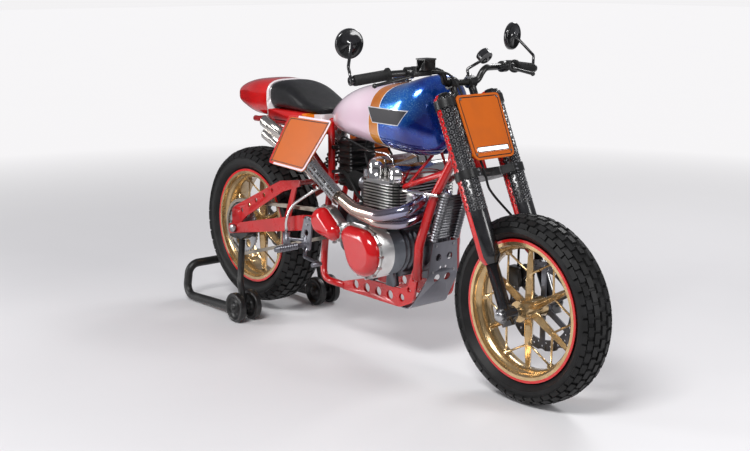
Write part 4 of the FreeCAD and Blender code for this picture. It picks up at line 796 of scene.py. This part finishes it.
def outline_piece(name, corners, radius, margin, width, thick, place, body, finish):
    """A line that follows a rounded outline, a margin inside it: only the border of an inset face is kept."""
    bm = bmesh.new()
    bm.faces.new([bm.verts.new((x, y, 0.0)) for x, y in corners])
    bmesh.ops.bevel(bm, geom=list(bm.verts), offset=radius, offset_type="OFFSET", affect="VERTICES",
                    segments=6, profile=0.5, material=-1)
    for thickness, keep_border in ((margin, False), (width, True)):
        border = bmesh.ops.inset_individual(bm, faces=bm.faces[:1], thickness=thickness)["faces"]
        gone = [f for f in bm.faces if (f in border) != keep_border]
        bmesh.ops.delete(bm, geom=gone, context="FACES")
    made = bmesh.ops.extrude_face_region(bm, geom=bm.faces[:])["geom"]
    bmesh.ops.translate(bm, vec=(0.0, 0.0, thick), verts=only_verts(made))
    bmesh.ops.transform(bm, matrix=place, verts=bm.verts)
    return finish_mesh(name, bm, body, [finish], 30.0)


PLATE_FACE = 0.0441
plate_plane = on_plane(ACROSS, UP, fork_point(0.6025, 0.0, PLATE_FACE))
front_corners = ((-0.087, -0.1075), (0.087, -0.1075), (0.094, 0.1075), (-0.094, 0.1075))
outline_piece("front_pinline", front_corners, 0.019, 0.0055, 0.0032, 0.0003, plate_plane, "steering",
              line_black)
lamp_corners = ((-0.0705, -0.0095), (0.0705, -0.0095), (0.0705, 0.0095), (-0.0705, 0.0095))
lamp_plane = on_plane(ACROSS, UP, fork_point(0.526, 0.0, 0.0455))
outline_piece("lamp_edge", lamp_corners, 0.004, 0.0004, 0.0026, 0.0016, lamp_plane, "steering", line_black)

PANEL_TOP = (0.142, 0.836)
PANEL_LOW = (0.204, 0.648)
panel_slope = Vector((0.0, PANEL_TOP[0] - PANEL_LOW[0], PANEL_TOP[1] - PANEL_LOW[1])).normalized()
panel_middle = Vector((-0.248, 0.1745, 0.7375))
panel_outline = (
    (-0.343, 0.842), (-0.089, 0.842), (-0.105, 0.8), (-0.183, 0.65), (-0.407, 0.658), (-0.363, 0.8),
)
for s in SIDES:
    label = "left" if s > 0 else "right"
    right = Vector((-s, 0.0, 0.0))
    slope = Vector((0.0, panel_slope.y * s, panel_slope.z))
    centre = Vector((panel_middle.x, panel_middle.y * s, panel_middle.z)) + right.cross(slope) * 0.0005
    place = on_plane(right, slope, centre)
    corners = [((x - panel_middle.x) * right.x, (z - panel_middle.z) / panel_slope.z)
               for x, z in panel_outline]
    outline_piece("panel_border_" + label, corners, 0.016, 0.0015, 0.0075, 0.0005, place, "chassis",
                  border_paint)
    outline_piece("panel_pinline_" + label, corners, 0.016, 0.0135, 0.0026, 0.0004, place, "chassis",
                  line_black)
print("plates lined")

# %% [markdown]
# Fasteners make a machine believable. A bolt is a short cylinder whose top is inset and pushed down into a
# socket, and one function sets a whole group of them on their faces.

# %% Bolts
def facing_plane(place, normal):
    return Matrix.Translation(place) @ Vector(normal).to_track_quat("Z", "Y").to_matrix().to_4x4()


def bolts(name, spots, radius, height, body, finish, sides=14, socket=0.5):
    """Bolt heads at (place, way out) spots: one is made, and then copied to every place."""
    bm = bmesh.new()
    bmesh.ops.create_cone(bm, cap_ends=True, segments=sides, radius1=radius, radius2=radius * 0.94,
                          depth=height)
    top = max(bm.faces, key=lambda f: f.calc_center_median().z)
    bmesh.ops.inset_individual(bm, faces=[top], thickness=radius * socket, depth=0.0)
    bottom = bmesh.ops.extrude_discrete_faces(bm, faces=[top])["faces"][0]
    bmesh.ops.translate(bm, vec=(0.0, 0.0, -height * 0.6), verts=bottom.verts[:])
    first = bm.verts[:] + bm.edges[:] + bm.faces[:]
    for place, out in spots:
        copy = bmesh.ops.duplicate(bm, geom=first)["geom"]
        plane = facing_plane(Vector(place) + Vector(out) * height * 0.5, out)
        bmesh.ops.transform(bm, matrix=plane, verts=only_verts(copy))
    bmesh.ops.delete(bm, geom=only_verts(first), context="VERTS")
    return finish_mesh(name, bm, body, [finish], 30.0)


# %% [markdown]
# The engine covers follow two circles and the lines between them, so their bolts are spread by the direction
# that the edge faces. Each bolt sits on the end of a round lug that stands just outside the cover's wall.

# %% Cover bolts
def egg_spots(first, first_r, second, second_r, y, inset, count):
    """Places round the edge of two joined circles (x, z in millimetres), seen on one side of the machine."""
    spots = []
    for i in range(count):
        turn = 2 * pi * i / count
        ux, uz = cos(turn), sin(turn)
        reach = [x * ux + z * uz + r for (x, z), r in ((first, first_r), (second, second_r))]
        (x, z), r = (first, first_r) if reach[0] > reach[1] else (second, second_r)
        place = spot(x + ux * (r - inset), y, z + uz * (r - inset))
        spots.append((place, (0.0, copysign(1.0, y), 0.0)))
    return spots


CLUTCH_EDGE = ((862, 402), 84, (794, 450), 38)
SPROCKET_EDGE = ((606, 472), 50, (668, 444), 34)
GENERATOR_EDGE = ((921, 418), 72, (810, 428), 48)
for name, edge, wall_y, count in (("clutch", CLUTCH_EDGE, -160, 13), ("sprocket", SPROCKET_EDGE, -142, 8),
                                  ("generator", GENERATOR_EDGE, 108, 12)):
    lug = 11 if wall_y < 0 else 14
    lug_y = wall_y + copysign(lug, wall_y)
    bolts(name + "_lugs", egg_spots(*edge, wall_y, -6, count), 0.0062, lug / 1000, "chassis", head_alloy,
          20, 0.2)
    bolts(name + "_bolts", egg_spots(*edge, lug_y, -6, count), 0.0041, 0.0036, "chassis", steel)
print("cover bolts set")

# %% [markdown]
# Each disc and the sprocket are held by a ring of gold bolts. The fork, the front plate, the bar, the skid
# plate and the hangers have a few bolts each, set as in the photo or where such a part needs them.

# %% Wheel, fork and frame bolts
def axle_spots(axle, radius, y, out):
    """Six places round an axle, on the side that out points to."""
    turns = [pi / 6 + pi / 3 * i for i in range(6)]
    return [(axle + Vector((cos(t) * radius, y, sin(t) * radius)), (0.0, out, 0.0)) for t in turns]


bolts("front_disc_bolts", axle_spots(FRONT_AXLE, 0.1155, 0.067, 1.0), 0.0058, 0.002, "front_wheel",
      gold_hardware)
bolts("rear_disc_bolts", axle_spots(REAR_AXLE, 0.0755, 0.077, 1.0), 0.0058, 0.002, "rear_wheel",
      gold_hardware)
bolts("rear_sprocket_bolts", axle_spots(REAR_AXLE, 0.05, -0.101, -1.0), 0.006, 0.003, "rear_wheel",
      gold_hardware)

cap_spots = [(fork_point(0.73, FORK_HALF * s), UP) for s in SIDES]
bolts("fork_caps", cap_spots, 0.0165, 0.006, "steering", part_black, 6, 0.42)
plate_spots = [(fork_point(up, y * s, PLATE_FACE), AHEAD)
               for up, y in ((0.698, 0.081), (0.513, 0.077)) for s in SIDES]
bolts("plate_bolts", plate_spots, 0.0042, 0.0028, "steering", steel)
pinch_spots = [(fork_point(up, s * 0.085, 0.0388), AHEAD) for up in (0.45, 0.464) for s in SIDES]
bolts("pinch_bolts", pinch_spots, 0.0042, 0.003, "steering", steel)
bar_spots = [(spot(1160, 43 * s, 1003) + UP * 0.0193 + AHEAD * ahead, UP)
             for s in SIDES for ahead in (-0.009, 0.009)]
bolts("bar_clamp_bolts", bar_spots, 0.0042, 0.004, "steering", steel)

skid_spots = [(spot(x, y * s, z), (1.0, 0.0, 0.0)) for x, y, z in ((1092, 40, 446), (1084, 48, 354))
              for s in SIDES]
bolts("skid_bolts", skid_spots, 0.0044, 0.0026, "chassis", steel)
hanger_spots = [(spot(x, 155 * s, z), (0.0, s, 0.0)) for x, z in ((512, 446), (488, 398)) for s in SIDES]
bolts("hanger_bolts", hanger_spots, 0.0055, 0.004, "chassis", steel)
print("bolts set")

# %% [markdown]
# The upper fork tubes are covered with staggered rows of small raised rims, each round a shallow hole whose
# floor is painted near black as painted shade. One rim is made flat, as on an unrolled tube: across is the way
# round and up is the way along. It is copied along one row and the row is copied up the tube, then each point
# is rolled onto its tube. Each grip gets a ribbed sleeve: a zigzag line spun round the bar.

# %% Fork perforations and grip ribs
RIM_COUNT = 13
RIM_ROW = 0.0142
RIM_LOW = 0.345
RIM_HIGH = 0.716


def roll_point(flat, s):
    """The flat point (round, up, height) rolled onto the tube on side s."""
    turn = flat.x / FORK_TUBE_R
    reach = FORK_TUBE_R + flat.z
    return fork_point(flat.y, FORK_HALF * s + sin(turn) * reach, cos(turn) * reach)


def fork_holes(name, s):
    bm = bmesh.new()
    bmesh.ops.create_circle(bm, cap_ends=True, segments=14, radius=0.0061)
    middle = bm.faces[:][0]
    middle.material_index = 1
    for thickness, depth in ((0.0008, 0.0009), (0.0003, 0.0), (0.0008, -0.00075)):
        bmesh.ops.inset_individual(bm, faces=[middle], thickness=thickness, depth=depth)
    # The floor of each hole takes the painted shade: near black.
    middle.material_index = 2
    first = bm.verts[:] + bm.edges[:] + bm.faces[:]
    step = 2 * pi * FORK_TUBE_R / RIM_COUNT
    for i in range(1, RIM_COUNT):
        copy = bmesh.ops.duplicate(bm, geom=first)["geom"]
        bmesh.ops.translate(bm, vec=(step * i, 0.0, 0.0), verts=only_verts(copy))
    line = bm.verts[:] + bm.edges[:] + bm.faces[:]
    for row in range(1, int((RIM_HIGH - RIM_LOW) / RIM_ROW) + 1):
        copy = bmesh.ops.duplicate(bm, geom=line)["geom"]
        bmesh.ops.translate(bm, vec=(step * 0.5 * (row % 2), row * RIM_ROW, 0.0), verts=only_verts(copy))
    for v in bm.verts:
        v.co = roll_point(v.co + Vector((0.0, RIM_LOW, 0.0)), s)
    return finish_mesh(name, bm, "steering", [fork_tube_finish, fork_rim_finish, painted_hole_shade], 25.0,
                       recalculate=False)


def grip_ribs(name, s):
    bar_end, grip_inner = spot(1099, 400 * s, 1027), spot(1130, 268 * s, 1043)
    bm = bmesh.new()
    verts = [bm.verts.new((0.0167 + 0.001 * (i % 2), 0.0, -0.001 - i * 0.0026)) for i in range(43)]
    edges = [bm.edges.new(pair) for pair in zip(verts, verts[1:])]
    bmesh.ops.spin(bm, geom=verts + edges, cent=(0.0, 0.0, 0.0), axis=(0.0, 0.0, 1.0), angle=2 * pi, steps=36,
                   use_merge=True)
    bmesh.ops.transform(bm, matrix=facing_plane(bar_end, (bar_end - grip_inner).normalized()), verts=bm.verts)
    return finish_mesh(name, bm, "steering", [grip_rubber], 30.0)


for s, label in ((-1, "right"), (1, "left")):
    fork_holes("fork_holes_" + label, s)
    grip_ribs("grip_ribs_" + label, s)
print("fork holes and grip ribs done")

# %% [markdown]
# Hoses and leads fill the gap behind the engine: a fuel line and a breather on each side, black wiring along
# the frame, and a red starter cable. Each is a smooth line through a few places, and none of them moves.

# %% Hoses and cables
RUN_STEPS = 10


def smooth_line(places):
    """Points of a Catmull-Rom line through places given in millimetres."""
    knots = [spot(*place) for place in places]
    knots = [knots[0] * 2 - knots[1]] + knots + [knots[-1] * 2 - knots[-2]]
    points = []
    for a, b, c, d in zip(knots, knots[1:], knots[2:], knots[3:]):
        for i in range(RUN_STEPS):
            t = i / RUN_STEPS
            points.append(0.5 * (b * 2 + (c - a) * t + (a * 2 - b * 5 + c * 4 - d) * t * t
                                 + (b * 3 - a - c * 3 + d) * t ** 3))
    return points + [knots[-2]]


for s in SIDES:
    label = "left" if s > 0 else "right"
    fuel_places = [(735, 40 * s, 782), (728, 52 * s, 742), (744, 60 * s, 706), (754, 58 * s, 676)]
    tube_piece("fuel_line_" + label, smooth_line(fuel_places), 0.0042, "chassis", grip_rubber)
    breather_places = [(760, 62 * s, 545), (735, 90 * s, 575), (700, 96 * s, 620), (640, 84 * s, 650),
                       (560, 70 * s, 640)]
    tube_piece("breather_" + label, smooth_line(breather_places), 0.0065, "chassis", grip_rubber)
wiring_places = [(600, -66, 756), (640, -84, 778), (700, -92, 770), (760, -86, 752), (812, -80, 742)]
tube_piece("wiring", smooth_line(wiring_places), 0.0034, "chassis", grip_rubber)
starter_places = [(600, 66, 600), (660, 100, 560), (720, 112, 520), (790, 108, 492)]
tube_piece("starter_cable", smooth_line(starter_places), 0.0045, "chassis", reflected_and_painted_red)
print("hoses and leads run")

# %% [markdown]
# The gauge has a dial with ticks and a needle, and the mirrors have their glass. Both are flat pieces set on
# the plane of the part behind them. The dial has ticks alone, because the photo doesn't show its face.

# %% Dial and mirror glass
def flat_disc(name, plane, radius, thick, body, finish):
    bm = bmesh.new()
    bmesh.ops.create_cone(bm, cap_ends=True, segments=48, radius1=radius, radius2=radius - thick * 0.5,
                          depth=thick)
    bmesh.ops.transform(bm, matrix=plane, verts=bm.verts)
    return finish_mesh(name, bm, body, [finish], 30.0)


gauge_normal = Vector((-0.8, 0.0, 0.6))
dial_plane = facing_plane(spot(1166, 94, 1090) + gauge_normal * 0.0064, gauge_normal)
flat_disc("gauge_dial", dial_plane, 0.021, 0.0008, "steering", dial_face)
bm = bmesh.new()
for i in range(25):
    long_tick = i % 4 == 0
    turn = Matrix.Rotation(radians(-130 + 260 * i / 24), 4, "Z")
    made = bmesh.ops.create_cube(bm, size=1.0)["verts"]
    wide, tall = (0.0007, 0.0036) if long_tick else (0.0004, 0.002)
    tick = Matrix.Translation((0.0, 0.0178, 0.0005)) @ Matrix.Diagonal((wide, tall, 0.0003, 1.0))
    bmesh.ops.transform(bm, matrix=dial_plane @ turn @ tick, verts=made)
finish_mesh("gauge_ticks", bm, "steering", [line_white])
bm = bmesh.new()
bmesh.ops.create_cone(bm, cap_ends=True, segments=4, radius1=0.0011, radius2=0.0002, depth=0.017)
needle = Matrix.Rotation(radians(118), 4, "Z") @ Matrix.Translation((0.0, 0.0065, 0.0012))
bmesh.ops.transform(bm, matrix=dial_plane @ needle @ Matrix.Rotation(radians(-90), 4, "X"), verts=bm.verts)
finish_mesh("gauge_needle", bm, "steering", [reflected_and_painted_red])

for s in SIDES:
    glass_normal = Vector((-1.0, -0.22 * s, 0.06)).normalized()
    glass_plane = facing_plane(spot(1035, 367 * s, 1137) + glass_normal * 0.0073, glass_normal)
    label = "left" if s > 0 else "right"
    flat_disc("mirror_glass_" + label, glass_plane, 0.0445, 0.0008, "steering", mirror_glass)
print("dial and mirror glass set")

# %% [markdown]
# The rear shock is a damper inside a coil spring. The body is a stack of cylinders, and the wire is a small
# circle spun round the axis while it rises, so one operator makes all the turns of the coil.

# %% Shock and spring
SHOCK_LOW, SHOCK_HIGH = spot(420, 0, 584), spot(548, 0, 821)
shock_along = (SHOCK_HIGH - SHOCK_LOW).normalized()
shock_plane = facing_plane(SHOCK_LOW, shock_along)
shock_length = (SHOCK_HIGH - SHOCK_LOW).length
coil_low, coil_high, coil_turns, wire_r = 0.0345, shock_length - 0.0695, 7.5, 0.0042
bm = bmesh.new()
shock_stack = (
    (0.0103, shock_length - 0.0153, 0.0118), (coil_low - 0.0075, coil_low - 0.0005, 0.0288),
    (coil_high, coil_high + 0.007, 0.0288), (coil_high + 0.007, shock_length - 0.0275, 0.0198),
)
for low, high, r in shock_stack:
    made = bmesh.ops.create_cone(bm, cap_ends=True, segments=40, radius1=r, radius2=r,
                                 depth=high - low)["verts"]
    bmesh.ops.translate(bm, vec=(0.0, 0.0, (low + high) / 2), verts=made)
shock_body_faces = set(bm.faces)
coil = bmesh.ops.create_circle(bm, segments=10, radius=wire_r)["verts"]
upright = Matrix.Translation((0.0215, 0.0, coil_low + wire_r)) @ Matrix.Rotation(radians(90), 4, "X")
bmesh.ops.transform(bm, matrix=upright, verts=coil)
steps = int(coil_turns * 28)
rise = (coil_high - coil_low - 2 * wire_r) / steps
bmesh.ops.spin(bm, geom=coil + list({e for v in coil for e in v.link_edges}), cent=(0.0, 0.0, 0.0),
               axis=(0.0, 0.0, 1.0), dvec=(0.0, 0.0, rise), angle=2 * pi * coil_turns, steps=steps)
for face in bm.faces:
    face.material_index = 0 if face in shock_body_faces else 1
bmesh.ops.transform(bm, matrix=shock_plane, verts=bm.verts)
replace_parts(finish_mesh("shock_with_spring", bm, "chassis", [steel, part_black], 40.0), "rear_shock")
print("spring of", coil_turns, "turns wound")

# %% [markdown]
# The machine stands on one plain pale floor that keeps its shadow. Far from the machine the floor fades to
# the backdrop's own colour, so no horizon crosses the picture.

# %% Floor
BACKDROP = (0.9, 0.89, 0.9)


def floor_finish():
    """Pale, and lit by the lamps near the machine. Further out it fades to the backdrop's own colour."""
    finish = Finish("pale floor", (0.86, 0.85, 0.86), 0.6)
    haze = finish.noise(1.2, 3.0)
    x, y, _ = finish.axes()
    far = (x * x + y * y).math("SQRT").ramp(1.8, 5.5)
    near_colour = finish.mix(haze.ramp(0.3, 0.8), (0.8, 0.79, 0.8), (0.77, 0.76, 0.77))
    seen = finish.node("ShaderNodeLightPath", {}, {}, "Is Camera Ray")
    finish.set("Base Color", finish.mix(far, near_colour, (0.0, 0.0, 0.0)))
    finish.set("Emission Color", finish.mix(far * seen, (0.0, 0.0, 0.0), BACKDROP))
    finish.set("Emission Strength", 1.0)
    finish.set("Roughness", 0.55 + haze * 0.1)
    finish.bump(finish.noise(300.0, 2.0), 0.0002, 0.1)
    return finish


bm = bmesh.new()
bmesh.ops.create_grid(bm, x_segments=1, y_segments=1, size=40.0)
floor_mesh = bpy.data.meshes.new("floor")
bm.to_mesh(floor_mesh)
bm.free()
floor_mesh.materials.append(floor_finish().material)
floor = bpy.data.objects.new("floor", floor_mesh)
bpy.context.scene.collection.objects.link(floor)
print("floor laid")

# %% [markdown]
# Soft lamps light the machine from four sides, the strongest from above its right front. The world is
# brighter for camera rays than for the rays that light the machine, so the background stays clean while the
# paint keeps its contrast.

# %% Lamps and world
def soft_lamp(name, place, target, size, power):
    lamp = bpy.data.lights.new(name, "AREA")
    lamp.shape = "RECTANGLE"
    lamp.size, lamp.size_y = size
    lamp.energy = power
    holder = bpy.data.objects.new(name, lamp)
    holder.location = place
    holder.rotation_euler = (Vector(target) - Vector(place)).to_track_quat("-Z", "Y").to_euler()
    bpy.context.scene.collection.objects.link(holder)


soft_lamp("key", (1.6, -2.8, 3.6), (0.0, 0.0, 0.5), (1.8, 1.0), 150.0)
soft_lamp("rim", (-0.8, 3.3, 3.0), (0.0, 0.0, 0.6), (2.0, 1.0), 70.0)
soft_lamp("side", (-2.6, -3.0, 1.2), (-0.2, 0.0, 0.5), (0.7, 2.0), 55.0)
soft_lamp("nose", (3.6, 0.9, 1.6), (0.4, 0.0, 0.6), (0.7, 1.8), 40.0)

world = bpy.data.worlds.new("studio")
bpy.context.scene.world = world
world.use_nodes = True
background = world.node_tree.nodes["Background"]
rays = world.node_tree.nodes.new("ShaderNodeLightPath")
shown = world.node_tree.nodes.new("ShaderNodeMix")
shown.data_type = "RGBA"
shown.inputs[6].default_value = (0.2, 0.2, 0.22, 1.0)
shown.inputs[7].default_value = (*BACKDROP, 1.0)
world.node_tree.links.new(rays.outputs["Is Camera Ray"], shown.inputs[0])
world.node_tree.links.new(shown.outputs[2], background.inputs["Color"])
background.inputs["Strength"].default_value = 1.0
print(len(bpy.data.lights), "lamps lit")

# %% [markdown]
# The camera stands where the photographer's did. Its place, turn and lens were solved from both wheels and
# the handlebar, so the render can be laid beside the photo.

# %% Camera
camera_data = bpy.data.cameras.new("photo camera")
camera_data.lens = 57.64
camera_data.sensor_width = 36.0
camera = bpy.data.objects.new("photo camera", camera_data)
camera.location = (3.278, -2.736, 1.356)
camera.rotation_euler = (radians(90.0 - 11.9), 0.0, radians(50.33))
bpy.context.scene.collection.objects.link(camera)
bpy.context.scene.camera = camera
bpy.context.scene.view_settings.view_transform = "Standard"
print("camera lens", camera_data.lens, "mm")
